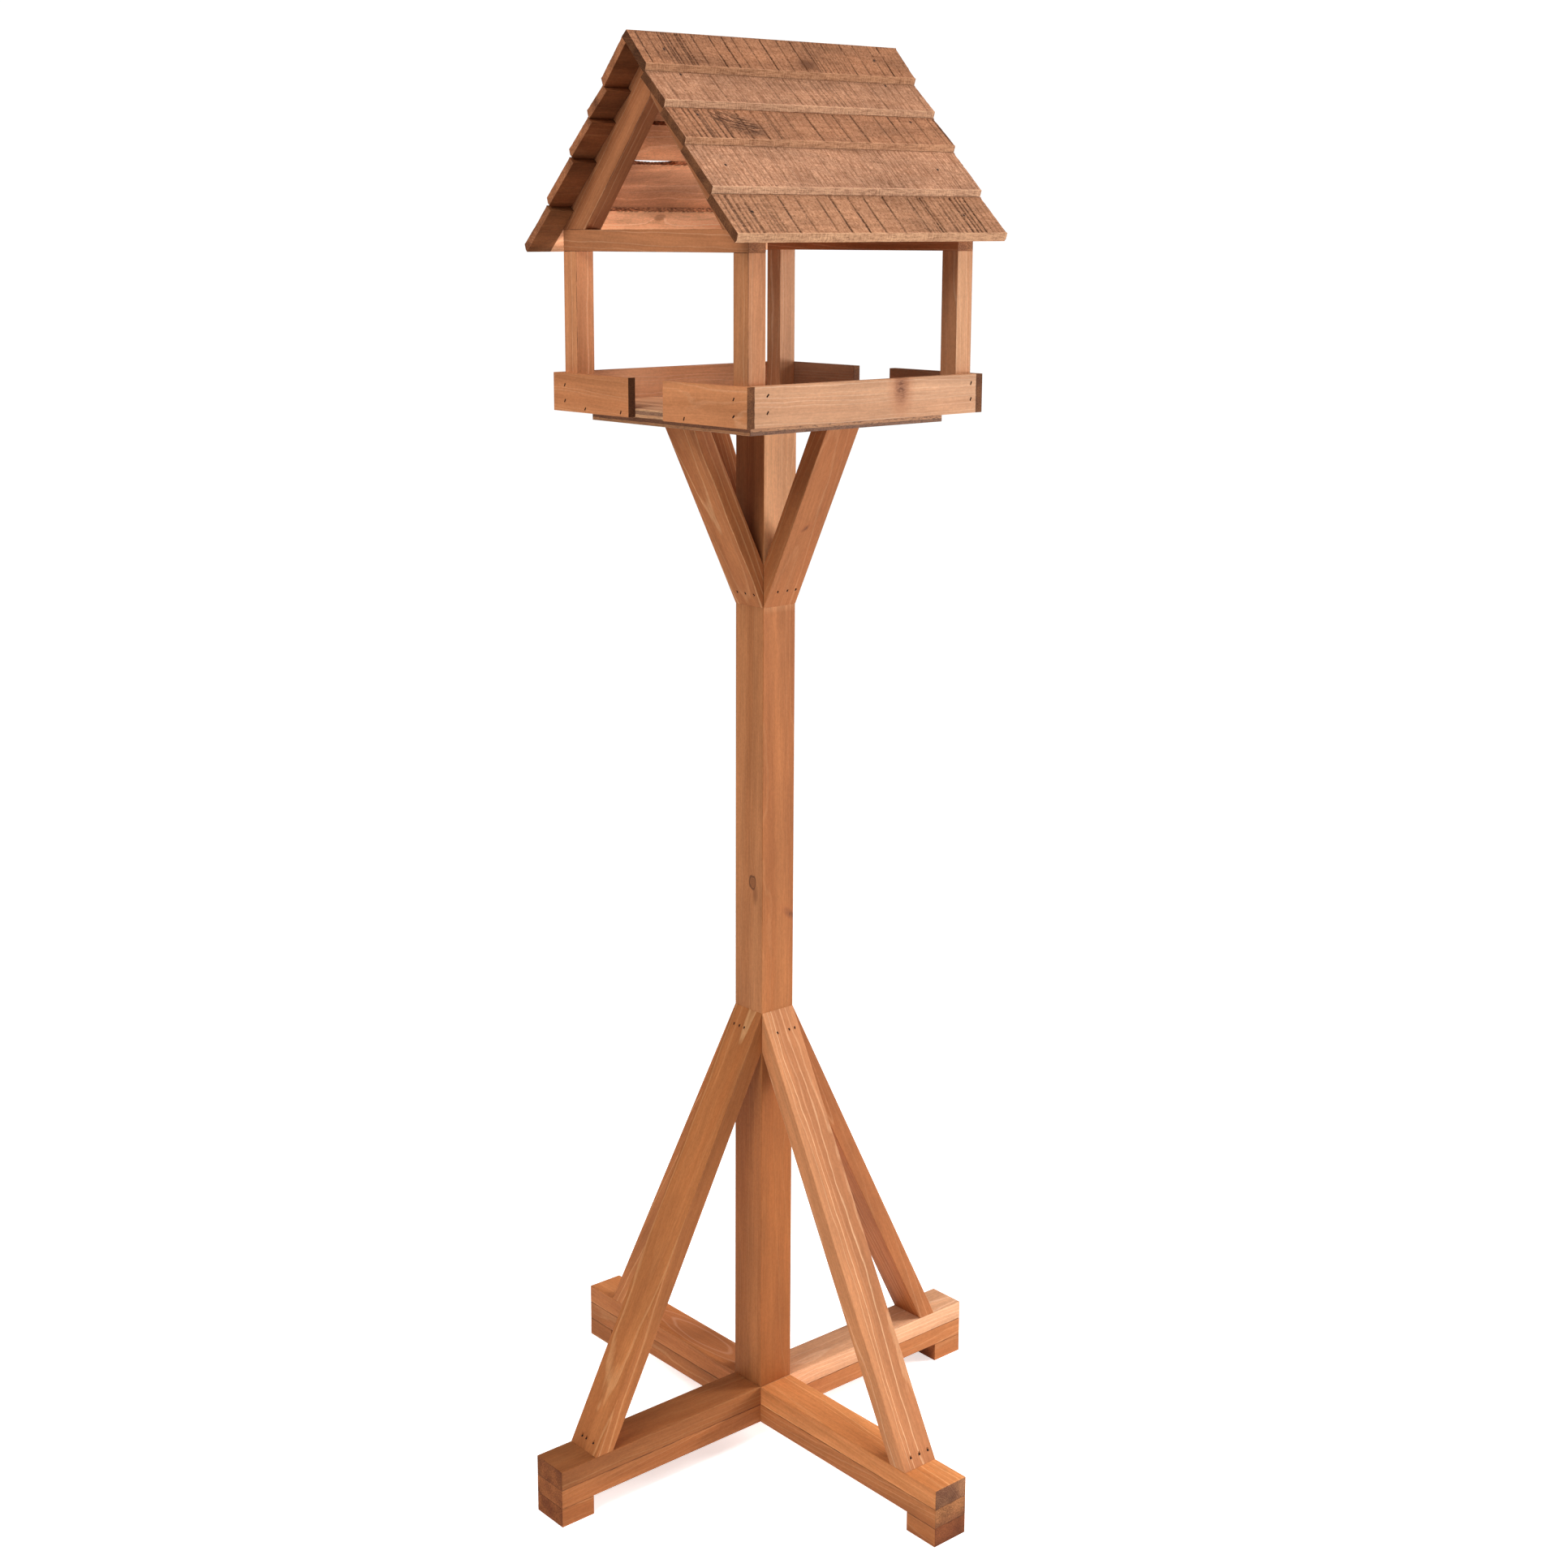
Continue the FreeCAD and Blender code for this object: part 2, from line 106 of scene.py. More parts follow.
class Sketch:
    """Draws a node tree with short calls.

    A value is either a socket, which is linked, or a constant. The three parts of a place are its distances
    along the fibres, across the width and through the depth.
    """

    def __init__(self, tree: bpy.types.NodeTree) -> None:
        """Start drawing in a tree."""
        self.tree = tree

    def add(self, kind: str, **settings: object) -> bpy.types.Node:
        """Add a node.

        Args:
            kind: the node's type name.
            settings: attributes set on the node.

        Returns:
            The new node.
        """
        node = self.tree.nodes.new(kind)
        for name, value in settings.items():
            setattr(node, name, value)
        return node

    def feed(self, socket: Socket, value: object) -> None:
        """Link a socket into an input, or set the input to a constant.

        Args:
            socket: the input.
            value: the socket or the constant.
        """
        if isinstance(value, Socket):
            self.tree.links.new(value, socket)
        elif isinstance(value, tuple) and len(value) == 3 and socket.type == "RGBA":
            socket.default_value = (*value, 1.0)
        else:
            socket.default_value = value

    def math(self, operation: str, first: object, second: object = 0.0, clamp: bool = False) -> Socket:
        """One Math node.

        Args:
            operation: the Math node's operation.
            first: the first value.
            second: the second value.
            clamp: whether to keep the result from 0 to 1.

        Returns:
            The result.
        """
        node = self.add("ShaderNodeMath", operation=operation, use_clamp=clamp)
        self.feed(node.inputs[0], first)
        self.feed(node.inputs[1], second)
        return node.outputs[0]

    def times(self, first: object, second: object, clamp: bool = False) -> Socket:
        """The product of two values, kept from 0 to 1 if clamped."""
        return self.math("MULTIPLY", first, second, clamp)

    def over(self, first: object, second: object) -> Socket:
        """The quotient of two values."""
        return self.math("DIVIDE", first, second)

    def plus(self, first: object, second: object) -> Socket:
        """The sum of two values."""
        return self.math("ADD", first, second)

    def minus(self, first: object, second: object) -> Socket:
        """The difference of two values."""
        return self.math("SUBTRACT", first, second)

    def squares(self, first: object, second: object) -> Socket:
        """The sum of the squares of two values."""
        return self.plus(self.times(first, first), self.times(second, second))

    def split(self, vector: object) -> list[Socket]:
        """The three components of a vector."""
        node = self.add("ShaderNodeSeparateXYZ")
        self.feed(node.inputs[0], vector)
        return list(node.outputs)

    def length(self, vector: object) -> Socket:
        """How long a vector is."""
        node = self.add("ShaderNodeVectorMath", operation="LENGTH")
        self.feed(node.inputs[0], vector)
        return node.outputs["Value"]

    def stretch(self, parts: list, factors: Point3) -> Socket:
        """Build a vector from components, each times its own factor.

        Args:
            parts: three values.
            factors: three factors.

        Returns:
            The vector.
        """
        node = self.add("ShaderNodeCombineXYZ")
        for socket, part, factor in zip(node.inputs, parts, factors):
            self.feed(socket, self.times(part, factor))
        return node.outputs[0]

    def noise(self, place: object, scale: float = 1.0, detail: float = 2.0, rough: float = 0.5) -> Socket:
        """A noise value from 0 to 1.

        Args:
            place: where to read the noise.
            scale: its scale.
            detail: its octaves.
            rough: how strong the finer octaves are.

        Returns:
            The value.
        """
        node = self.add("ShaderNodeTexNoise")
        self.feed(node.inputs["Vector"], place)
        self.feed(node.inputs["Scale"], scale)
        self.feed(node.inputs["Detail"], detail)
        self.feed(node.inputs["Roughness"], rough)
        return node.outputs["Fac"] if "Fac" in node.outputs else node.outputs[0]

    def streaks(self, parts: list, factors: Point3, detail: float = 2.0, rough: float = 0.5) -> Socket:
        """A noise value from 0 to 1, as fine in each direction as its factor says.

        Args:
            parts: where to read the noise.
            factors: how fine the noise is in each direction, per metre.
            detail: its octaves.
            rough: how strong the finer octaves are.

        Returns:
            The value.
        """
        return self.noise(self.stretch(parts, factors), detail=detail, rough=rough)

    def sway(self, parts: list, factors: Point3, detail: float) -> Socket:
        """A noise value from -0.5 to 0.5, with the inputs of streaks."""
        return self.minus(self.streaks(parts, factors, detail), 0.5)

    def spread(self, value: object, low: float, high: float, start: float, end: float) -> Socket:
        """Map a value from low..high to start..end, clamped.

        Args:
            value: the value to map.
            low: the value that gives start.
            high: the value that gives end.
            start: the result at low.
            end: the result at high.

        Returns:
            The mapped value.
        """
        node = self.add("ShaderNodeMapRange")
        for socket, item in zip(node.inputs, (value, low, high, start, end)):
            self.feed(socket, item)
        return node.outputs[0]

    def ramp(self, value: object, stops: list[tuple[float, float]]) -> Socket:
        """A grey ramp.

        Args:
            value: the position on the ramp.
            stops: (position, grey) pairs.

        Returns:
            The grey as a value.
        """
        node = self.add("ShaderNodeValToRGB")
        band = node.color_ramp
        while len(band.elements) < len(stops):
            band.elements.new(0.5)
        for element, (place, grey) in zip(band.elements, stops):
            element.position = place
            element.color = (grey, grey, grey, 1.0)
        self.feed(node.inputs[0], value)
        return node.outputs[0]

    def blend(self, share: object, first: object, second: object, mode: str = "MIX") -> Socket:
        """Mix two colours.

        Args:
            share: how much of the second.
            first: the first colour.
            second: the second colour.
            mode: the blend type.

        Returns:
            The colour.
        """
        node = self.add("ShaderNodeMix", data_type="RGBA", blend_type=mode)
        self.feed(node.inputs[0], share)
        self.feed(node.inputs[6], first)
        self.feed(node.inputs[7], second)
        return node.outputs[2]

    def tinted(self, colour: object, tint: object) -> Socket:
        """A colour times another."""
        return self.blend(1.0, colour, tint, "MULTIPLY")

    def grey(self, value: object) -> Socket:
        """A colour with all three channels at a value."""
        node = self.add("ShaderNodeCombineColor")
        for socket in node.inputs:
            self.feed(socket, value)
        return node.outputs[0]

    def end_tree(self, shape: Socket, finish: Socket, chosen: object = True) -> None:
        """End a Geometry Nodes tree: make its instances real and give the chosen faces their finish.

        Args:
            shape: the shape so far.
            finish: the finish.
            chosen: which faces get it.
        """
        real = self.add("GeometryNodeRealizeInstances")
        self.feed(real.inputs[0], shape)
        paint = self.add("GeometryNodeSetMaterial")
        for name, item in (("Geometry", real.outputs[0]), ("Selection", chosen), ("Material", finish)):
            self.feed(paint.inputs[name], item)
        self.feed(self.add("NodeGroupOutput").inputs[0], paint.outputs[0])

    def stored(self, name: str, kind: str) -> Socket:
        """One of the mesh's attributes, of a kind such as FLOAT, in a Geometry Nodes tree."""
        node = self.add("GeometryNodeInputNamedAttribute", data_type=kind)
        self.feed(node.inputs["Name"], name)
        return node.outputs["Attribute"]

    def value(self, name: str) -> Socket:
        """One of the pieces' own numbers."""
        return self.add("ShaderNodeAttribute", attribute_name=name).outputs["Fac"]

    def vector(self, name: str) -> Socket:
        """One of the pieces' own vectors."""
        return self.add("ShaderNodeAttribute", attribute_name=name).outputs["Vector"]


@dataclass(frozen=True)
class SawMarks:
    """The marks of a saw blade: strings of torn dots that run down a board, some lone and some in crowds."""

    lone_spacing: float = 21 * MM
    crowd_spacing: float = 6.5 * MM
    half_width: Point2 = (0.65 * MM, 1.45 * MM)

    def depth(self, sketch: Sketch, saw: object, down: object) -> Socket:
        """Work out how deep the marks are.

        Args:
            sketch: the tree to draw in.
            saw: the distance along the board, slanted as the blade went.
            down: the distance across the board.

        Returns:
            The depth, from 0 to 1.
        """
        crowd = sketch.spread(sketch.streaks([saw, 0.0, 0.0], (9, 1, 1), 1.0), 0.48, 0.57, 0.0, 0.85)
        marks = 0.0
        for spacing, share, seed in ((self.lone_spacing, 1.0, 3.1), (self.crowd_spacing, crowd, 8.7)):
            lines = sketch.add("ShaderNodeTexVoronoi", voronoi_dimensions="1D", feature="DISTANCE_TO_EDGE")
            sketch.feed(lines.inputs["W"], sketch.plus(sketch.over(saw, spacing), seed))
            sketch.feed(lines.inputs["Scale"], 1.0)
            far = sketch.times(lines.outputs["Distance"], spacing)
            near = sketch.spread(far, *self.half_width, 1.0, 0.0)
            force = sketch.spread(sketch.streaks([saw, 0.0, seed], (70, 1, 1), 0.0), 0.36, 0.6, 0.45, 1.0)
            marks = sketch.math("MAXIMUM", marks, sketch.times(sketch.times(near, force), share))
        dots = sketch.streaks([saw, down, 0.0], (170, 430, 1), 1.0)
        lift = sketch.streaks([saw, down, 4.0], (30, 24, 1), 1.0)
        marks = sketch.times(marks, sketch.spread(dots, 0.36, 0.5, 0.4, 1.0))
        return sketch.times(marks, sketch.spread(lift, 0.34, 0.5, 0.4, 1.0))


def fresh_material(name: str) -> tuple[bpy.types.Material, Sketch, bpy.types.Node]:
    """Start a material.

    Args:
        name: the material's name.

    Returns:
        The material, a sketch of its tree, and its surface shader.
    """
    material = bpy.data.materials.new(name)
    material.use_nodes = True
    return material, Sketch(material.node_tree), material.node_tree.nodes["Principled BSDF"]


def dress(sketch: Sketch, shader: bpy.types.Node, colour: object, rough: object, gloss: float = 0.5) -> None:
    """Give a shader its colour, roughness and gloss."""
    sketch.feed(shader.inputs["Base Color"], colour)
    sketch.feed(shader.inputs["Roughness"], rough)
    shader.inputs["Specular IOR Level"].default_value = gloss


def emboss(sketch: Sketch, shader: bpy.types.Node, height: object, strength: float, relief: float) -> None:
    """Give a shader a fine relief.

    Args:
        sketch: the material's tree.
        shader: its shader.
        height: the relief's shape, from 0 to 1.
        strength: how strongly it shows.
        relief: its real depth.
    """
    bump = sketch.add("ShaderNodeBump")
    bump.inputs["Strength"].default_value = strength
    bump.inputs["Distance"].default_value = relief
    sketch.feed(bump.inputs["Height"], height)
    sketch.feed(shader.inputs["Normal"], bump.outputs[0])


@dataclass
class Scars:
    """A knot, a bruise or oval rings, laid over a wood's colour where a piece's own attributes place them.

    They read the attributes knot, bark, mark and oval. A torn knot is only a dark patch.
    """

    sketch: Sketch
    parts: list
    torn: bool = False
    heart_light: Colour = (0.30, 0.11, 0.042)
    heart_dark: Colour = (0.15, 0.05, 0.022)
    halo: Colour = (0.36, 0.13, 0.05)
    torn_halo: Colour = (0.13, 0.05, 0.022)
    bark: Colour = (0.1, 0.038, 0.018)
    resin: Colour = (0.2, 0.07, 0.028)
    oval_field: Colour = (0.42, 0.15, 0.066)
    oval_ring: Colour = (0.62, 0.30, 0.165)
    bruise_edge: Colour = (0.40, 0.125, 0.042)
    bruise_core: Colour = (0.17, 0.055, 0.022)
    swirl_reach: Point2 = (2 * MM, 22 * MM)
    heart_reach: Point2 = (3.6 * MM, 5.6 * MM)
    heart_ring: float = 1.5 * MM
    bark_radius: float = 4.9 * MM
    bark_edge: Point2 = (0.35 * MM, 1.2 * MM)
    resin_place: Point2 = (13 * MM, 4.5 * MM)
    resin_reach: Point2 = (12 * MM, 4.5 * MM)
    reach: Socket = field(init=False)
    swirl: Socket = field(init=False)

    def __post_init__(self) -> None:
        """Work out how far each place is from the knot's middle, and how strongly the knot pulls there."""
        sketch = self.sketch
        along, across, _ = sketch.split(sketch.vector("knot"))
        distance = sketch.math("SQRT", sketch.squares(sketch.times(along, 0.66), across))
        wobble = sketch.sway(self.parts, (60, 260, 260), 2.0)
        self.reach = sketch.plus(distance, sketch.times(wobble, 0.004))
        self.swirl = sketch.spread(self.reach, *self.swirl_reach, 1.0, 0.0)

    def pull(self, most: float) -> Socket:
        """How far the knot pushes the wood's rings aside, up to the most at its middle."""
        return self.sketch.times(self.sketch.math("POWER", self.swirl, 2.0), most)

    def laid_over(self, colour: object) -> Socket:
        """Lay every scar over a colour.

        Args:
            colour: the colour so far.

        Returns:
            The colour with the scars.
        """
        strength = 1.5 if self.torn else 0.3
        halo = self.sketch.times(self.sketch.math("POWER", self.swirl, 3.0), strength, clamp=True)
        colour = self.sketch.blend(halo, colour, self.torn_halo if self.torn else self.halo)
        if not self.torn:
            colour = self.ovals(self.smear(self.heart(colour)))
        return self.bruise(colour)

    def heart(self, colour: object) -> Socket:
        """Lay the knot's ringed heart and its bark over a colour.

        Args:
            colour: the colour so far.

        Returns:
            The colour with both.
        """
        sketch = self.sketch
        rings = sketch.math("FRACT", sketch.over(self.reach, self.heart_ring))
        core = sketch.ramp(rings, [(0.0, 0.0), (0.6, 0.3), (0.95, 0.8), (1.0, 0.0)])
        core = sketch.blend(core, self.heart_light, self.heart_dark)
        weight = sketch.spread(sketch.value("bark"), 0.0, 1.0, 0.45, 0.9)
        weight = sketch.times(sketch.spread(self.reach, *self.heart_reach, 1.0, 0.0), weight)
        colour = sketch.blend(weight, colour, core)
        edge = sketch.math("ABSOLUTE", sketch.minus(self.reach, self.bark_radius))
        edge = sketch.times(sketch.spread(edge, *self.bark_edge, 0.75, 0.0), sketch.value("bark"))
        return sketch.blend(edge, colour, self.bark)

    def smear(self, colour: object) -> Socket:
        """Lay the resin smear below the knot over a colour.

        Args:
            colour: the colour so far.

        Returns:
            The colour with the smear.
        """
        sketch = self.sketch
        along, across, _ = sketch.split(sketch.vector("knot"))
        along = sketch.over(sketch.plus(along, self.resin_place[0]), self.resin_reach[0])
        across = sketch.over(sketch.plus(across, self.resin_place[1]), self.resin_reach[1])
        weight = sketch.spread(sketch.squares(along, across), 0.0, 1.2, 0.6, 0.0)
        return sketch.blend(sketch.times(weight, sketch.value("bark")), colour, self.resin)

    def ovals(self, colour: object) -> Socket:
        """Lay two pale oval rings, and the redder field inside them, over a colour.

        Args:
            colour: the colour so far.

        Returns:
            The colour with the ovals.
        """
        sketch = self.sketch
        wobble = sketch.sway(self.parts, (16, 60, 60), 1.5)
        size = sketch.plus(sketch.length(sketch.vector("mark")), sketch.times(wobble, 0.3))
        present = sketch.value("oval")
        inside = sketch.times(sketch.spread(size, 0.9, 1.02, 0.3, 0.0), present)
        colour = sketch.blend(inside, colour, self.oval_field)
        for place, width, strength in ((0.66, 0.075, 0.5), (1.0, 0.06, 0.4)):
            ring = sketch.math("ABSOLUTE", sketch.minus(size, place))
            ring = sketch.times(sketch.spread(ring, 0.01, width, strength, 0.0), present)
            colour = sketch.blend(ring, colour, self.oval_ring)
        return colour

    def bruise(self, colour: object) -> Socket:
        """Lay a bruise over a colour, unless the mark is one of oval rings.

        Args:
            colour: the colour so far.

        Returns:
            The colour with the bruise.
        """
        sketch = self.sketch
        away = sketch.plus(sketch.length(sketch.vector("mark")), sketch.times(sketch.value("oval"), 5.0))
        colour = sketch.blend(sketch.spread(away, 0.3, 1.0, 0.55, 0.0), colour, self.bruise_edge)
        worn = sketch.spread(away, 0.12, 0.6, 1.0, 0.0)
        dashes = sketch.streaks(self.parts, (230, 900, 900))
        depth = sketch.times(worn, sketch.spread(dashes, 0.4, 0.6, 0.45, 1.0))
        return sketch.blend(depth, colour, self.bruise_core)


@dataclass(frozen=True)
class StainedWood:
    """Stained softwood with its rings worked out through the whole solid, end grain included.

    Stain sinks into the soft early wood and leaves the hard late wood paler, so the strong rings show as pale
    lines. A dark line of painted shade lies in the seams that the attribute seam names.
    """

    name: str
    ground: Colour
    deep: Colour
    pale: Colour
    pale_share: float = 0.5
    line_share: float = 0.35
    blotch_share: float = 0.16
    fibre_share: float = 0.09
    streak_share: float = 0.08
    tooth_share: float = 0.07
    speckle_share: float = 0.0
    roughness: float = 0.6
    relief: float = 0.15 * MM
    rings_per_band: float = 1.0
    # The attribute whose colour tints the wood: staining, with painted light and shade in it on some pieces
    stain: str = "tint"
    seam_stain: Colour = (0.09, 0.036, 0.018)

    def material(self) -> bpy.types.Material:
        """Build the material.

        Returns:
            The material, which reads the attributes grain, ring, figure and seam, the scars', and its tint
            layer, which holds staining and, on some pieces, painted light and shade.
        """
        material, sketch, shader = fresh_material(self.name)
        parts = sketch.split(sketch.vector("grain"))
        scars = Scars(sketch, parts)
        radius, late, line = self.rings(sketch, parts, scars)
        fibre = sketch.streaks(parts, (24, 560, 560), 3.0, 0.6)
        stripe = sketch.streaks([radius, parts[0], 0.0], (60, 1.2, 1.0), 1.5)
        band = sketch.streaks(parts, (1.4, 55, 55), 1.5)
        stripe = sketch.plus(sketch.times(stripe, 0.5), sketch.times(band, 0.5))
        colour = sketch.blend(sketch.spread(stripe, 0.38, 0.62, 0.0, 1.0), self.ground, self.deep)
        colour = sketch.blend(sketch.times(line, self.line_share), colour, self.deep)
        colour = sketch.blend(sketch.times(late, self.pale_share), colour, self.pale)
        colour = sketch.tinted(colour, sketch.grey(self.shade(sketch, parts, fibre)))
        colour = scars.laid_over(sketch.tinted(colour, sketch.vector(self.stain)))
        # Painted shade in the seams, broken up along them
        gap = sketch.spread(sketch.streaks(parts, (55, 120, 120)), 0.38, 0.6, 0.1, 0.8)
        colour = sketch.blend(sketch.times(sketch.value("seam"), gap), colour, self.seam_stain)
        rough = sketch.spread(fibre, 0.2, 0.8, self.roughness + 0.1, self.roughness - 0.05)
        dress(sketch, shader, colour, rough, gloss=0.12)
        emboss(sketch, shader, sketch.plus(fibre, sketch.times(late, 0.5)), 0.45, self.relief)
        return material

    def rings(self, sketch: Sketch, parts: list, scars: Scars) -> tuple[Socket, Socket, Socket]:
        """Work out the year rings.

        Args:
            sketch: the material's tree.
            parts: the place in the log.
            scars: the knot that pushes the rings aside.

        Returns:
            The distance from the pith, and how strongly the late wood and the dark line after it show.
        """
        length, width, depth = parts
        radius = sketch.math("SQRT", sketch.squares(width, depth))
        for factors, detail, most in (((2.1, 14, 14), 1.5, 18 * MM), ((11, 42, 42), 3.0, 7.5 * MM)):
            radius = sketch.plus(radius, sketch.times(sketch.sway(parts, factors, detail), most))
        radius = sketch.plus(radius, scars.pull(6 * MM))
        count = sketch.over(sketch.times(radius, self.rings_per_band), sketch.value("ring"))
        place = sketch.math("FRACT", count)
        strength = sketch.streaks([sketch.math("FLOOR", count), length, 0.0], (0.71, 0.9, 1.0), 1.0)
        strength = sketch.times(sketch.spread(strength, 0.42, 0.64, 0.06, 1.0), sketch.value("figure"))
        late = sketch.ramp(place, [(0.0, 0.0), (0.72, 0.0), (0.88, 1.0), (0.94, 0.8), (1.0, 0.0)])
        line = sketch.ramp(place, [(0.0, 1.0), (0.1, 0.35), (0.3, 0.0), (0.95, 0.0), (1.0, 1.0)])
        return radius, sketch.times(late, strength), sketch.times(line, strength)

    def shade(self, sketch: Sketch, parts: list, fibre: object) -> Socket:
        """Work out how fibres, streaks, tool marks, blotches and pores darken or lighten the wood.

        Args:
            sketch: the material's tree.
            parts: the place in the log.
            fibre: the fibres' own noise.

        Returns:
            The factor.
        """
        streak = sketch.streaks(parts, (3.0, 110, 110), 2.5, 0.55)
        tooth = sketch.streaks(parts, (240, 480, 480), 2.0, 0.7)
        blotch = sketch.streaks(parts, (7, 26, 26), 3.0)
        shade = sketch.spread(fibre, 0.3, 0.7, 1.0 - self.fibre_share, 1.0 + self.fibre_share)
        for noise, low, high, share, lift in ((streak, 0.34, 0.66, self.streak_share, 0.7),
                                              (tooth, 0.34, 0.66, self.tooth_share, 1.0),
                                              (blotch, 0.3, 0.7, self.blotch_share, 0.5)):
            shade = sketch.times(shade, sketch.spread(noise, low, high, 1.0 - share, 1.0 + lift * share))
        if self.speckle_share > 0:
            pores = sketch.streaks(parts, (760, 760, 760), 3.0, 0.8)
            low, high = 1.0 - self.speckle_share, 1.0 + 1.1 * self.speckle_share
            shade = sketch.times(shade, sketch.spread(pores, 0.35, 0.68, low, high))
        return shade


@dataclass(frozen=True)
class SawnWood:
    """The fuzzy outer face of a roof board straight from the saw, dark in its kerf marks."""

    name: str
    light: Colour
    dark: Colour
    kerf: Colour
    worn_edge: Colour = (0.8, 0.43, 0.25)
    relief: float = 1.1 * MM
    marks: SawMarks = SawMarks()

    def material(self) -> bpy.types.Material:
        """Build the material.

        Returns:
            The material, which reads the attributes grain, saw, scored, worn and tint, and the scars'.
        """
        material, sketch, shader = fresh_material(self.name)
        length, width, depth = parts = sketch.split(sketch.vector("grain"))
        scars = Scars(sketch, parts, torn=True)
        saw, scored = sketch.value("saw"), sketch.value("scored")
        fuzz = sketch.streaks(parts, (330, 380, 380), 3.0, 0.7)
        ripple = sketch.streaks([saw, width, 0.0], (430, 42, 1), 2.0, 0.6)
        ticks = sketch.streaks([saw, width, 3.0], (560, 380, 1), 1.0)
        bent = sketch.plus(width, scars.pull(12 * MM))
        grain = sketch.streaks([length, bent, depth], (38, 260, 260), 3.0, 0.65)
        patch = sketch.streaks(parts, (9, 34, 34), 3.0, 0.6)
        colour = sketch.blend(sketch.spread(fuzz, 0.32, 0.66, 0.75, 0.0), self.light, self.dark)
        colour = sketch.blend(sketch.spread(grain, 0.46, 0.66, 0.0, 0.45), colour, self.dark)
        ridge = sketch.spread(ripple, 0.46, 0.66, 0.0, 1.0)
        ridge = sketch.times(ridge, sketch.spread(scored, 0.4, 1.0, 0.85, 0.4))
        colour = sketch.blend(ridge, colour, self.dark)
        colour = sketch.blend(sketch.spread(ticks, 0.6, 0.7, 0.0, 0.55), colour, self.kerf)
        colour = sketch.tinted(colour, sketch.grey(sketch.spread(patch, 0.3, 0.7, 0.76, 1.2)))
        shred = sketch.spread(sketch.streaks(parts, (75, 520, 520), 3.0, 0.7), 0.4, 0.58, 0.3, 1.0)
        rub = sketch.times(sketch.spread(patch, 0.35, 0.6, 0.75, 1.0), shred)
        colour = sketch.blend(sketch.times(sketch.value("worn"), rub), colour, self.worn_edge)
        colour = sketch.tinted(colour, sketch.vector("tint"))
        scratch = sketch.times(self.marks.depth(sketch, saw, width), scored)
        scratch = sketch.math("MAXIMUM", scratch, self.torn_patch(sketch))
        colour = scars.laid_over(sketch.blend(scratch, colour, self.kerf))
        dress(sketch, shader, colour, sketch.spread(fuzz, 0.3, 0.7, 0.92, 0.8), gloss=0.15)
        height = sketch.minus(fuzz, sketch.times(grain, 0.6))
        height = sketch.minus(height, sketch.times(scratch, 0.9))
        emboss(sketch, shader, sketch.minus(height, sketch.times(ripple, 0.8)), 1.0, self.relief)
        return material

    @staticmethod
    def torn_patch(sketch: Sketch) -> Socket:
        """Work out how deep the fibres are torn out in short curved strokes inside an oval mark.

        Args:
            sketch: the material's tree.

        Returns:
            The depth, from 0 to 1.
        """
        along, across, _ = sketch.split(sketch.vector("mark"))
        bend = sketch.plus(across, sketch.times(sketch.times(along, along), 0.5))
        strokes = sketch.streaks([along, bend, 0.0], (2.4, 7.5, 1.0), 3.0, 0.65)
        inside = sketch.spread(sketch.squares(along, across), 0.25, 1.0, 1.0, 0.0)
        inside = sketch.times(inside, sketch.value("oval"))
        return sketch.times(sketch.spread(strokes, 0.47, 0.55, 0.0, 1.0), inside)


@dataclass(frozen=True)
class PlyEdge:
    """The sawn edge of plywood: veneers with the grain along the edge, and veneers cut across."""

    name: str
    outer_long: bool
    torn: float
    weight: float
    thickness: float = 10 * MM
    veneers: int = 3
    long_light: Colour = (0.66, 0.37, 0.19)
    long_dark: Colour = (0.42, 0.19, 0.085)
    cut_dark: Colour = (0.15, 0.065, 0.035)
    cut_light: Colour = (0.34, 0.17, 0.09)
    glue: Colour = (0.08, 0.035, 0.02)
    tear: Colour = (0.085, 0.036, 0.02)
    relief: float = 0.4 * MM

    def material(self) -> bpy.types.Material:
        """Build the material.

        Returns:
            The material, which reads the attributes grain and end_tint. The third part of grain runs from the
            underside upward.
        """
        material, sketch, shader = fresh_material(self.name)
        along, across, rise = parts = sketch.split(sketch.vector("grain"))
        wander = sketch.sway([along, across, 0.0], (55, 55, 1), 3.0)
        level = sketch.plus(sketch.over(rise, self.thickness / self.veneers), sketch.times(wander, 0.35))
        place = sketch.math("FRACT", level)
        odd = sketch.math("FLOORED_MODULO", sketch.math("FLOOR", level), 2.0)
        if self.outer_long:
            odd = sketch.minus(1.0, odd)
        fine = sketch.streaks(parts, (30, 30, 1500), 3.0)
        speckle = sketch.streaks(parts, (900, 900, 900), 3.0, 0.8)
        long_veneer = sketch.blend(sketch.spread(fine, 0.3, 0.7, 0.0, 1.0), self.long_light, self.long_dark)
        cut_veneer = sketch.blend(sketch.spread(speckle, 0.35, 0.65, 0.0, 1.0), self.cut_dark, self.cut_light)
        colour = sketch.blend(odd, cut_veneer, long_veneer)
        seam = sketch.ramp(place, [(0.0, 1.0), (0.09, 0.0), (0.91, 0.0), (1.0, 1.0)])
        colour = sketch.blend(sketch.times(seam, 0.75), colour, self.glue)
        tears = sketch.streaks(parts, (140, 140, 420), 3.0, 0.7)
        colour = sketch.blend(sketch.spread(tears, 0.5, 0.62, 0.0, self.torn), colour, self.tear)
        colour = sketch.tinted(colour, sketch.vector("end_tint"))
        colour = sketch.tinted(colour, sketch.grey(self.weight))
        dress(sketch, shader, colour, sketch.spread(speckle, 0.3, 0.7, 0.7, 0.9))
        emboss(sketch, shader, sketch.minus(speckle, tears), 0.8, self.relief)
        return material


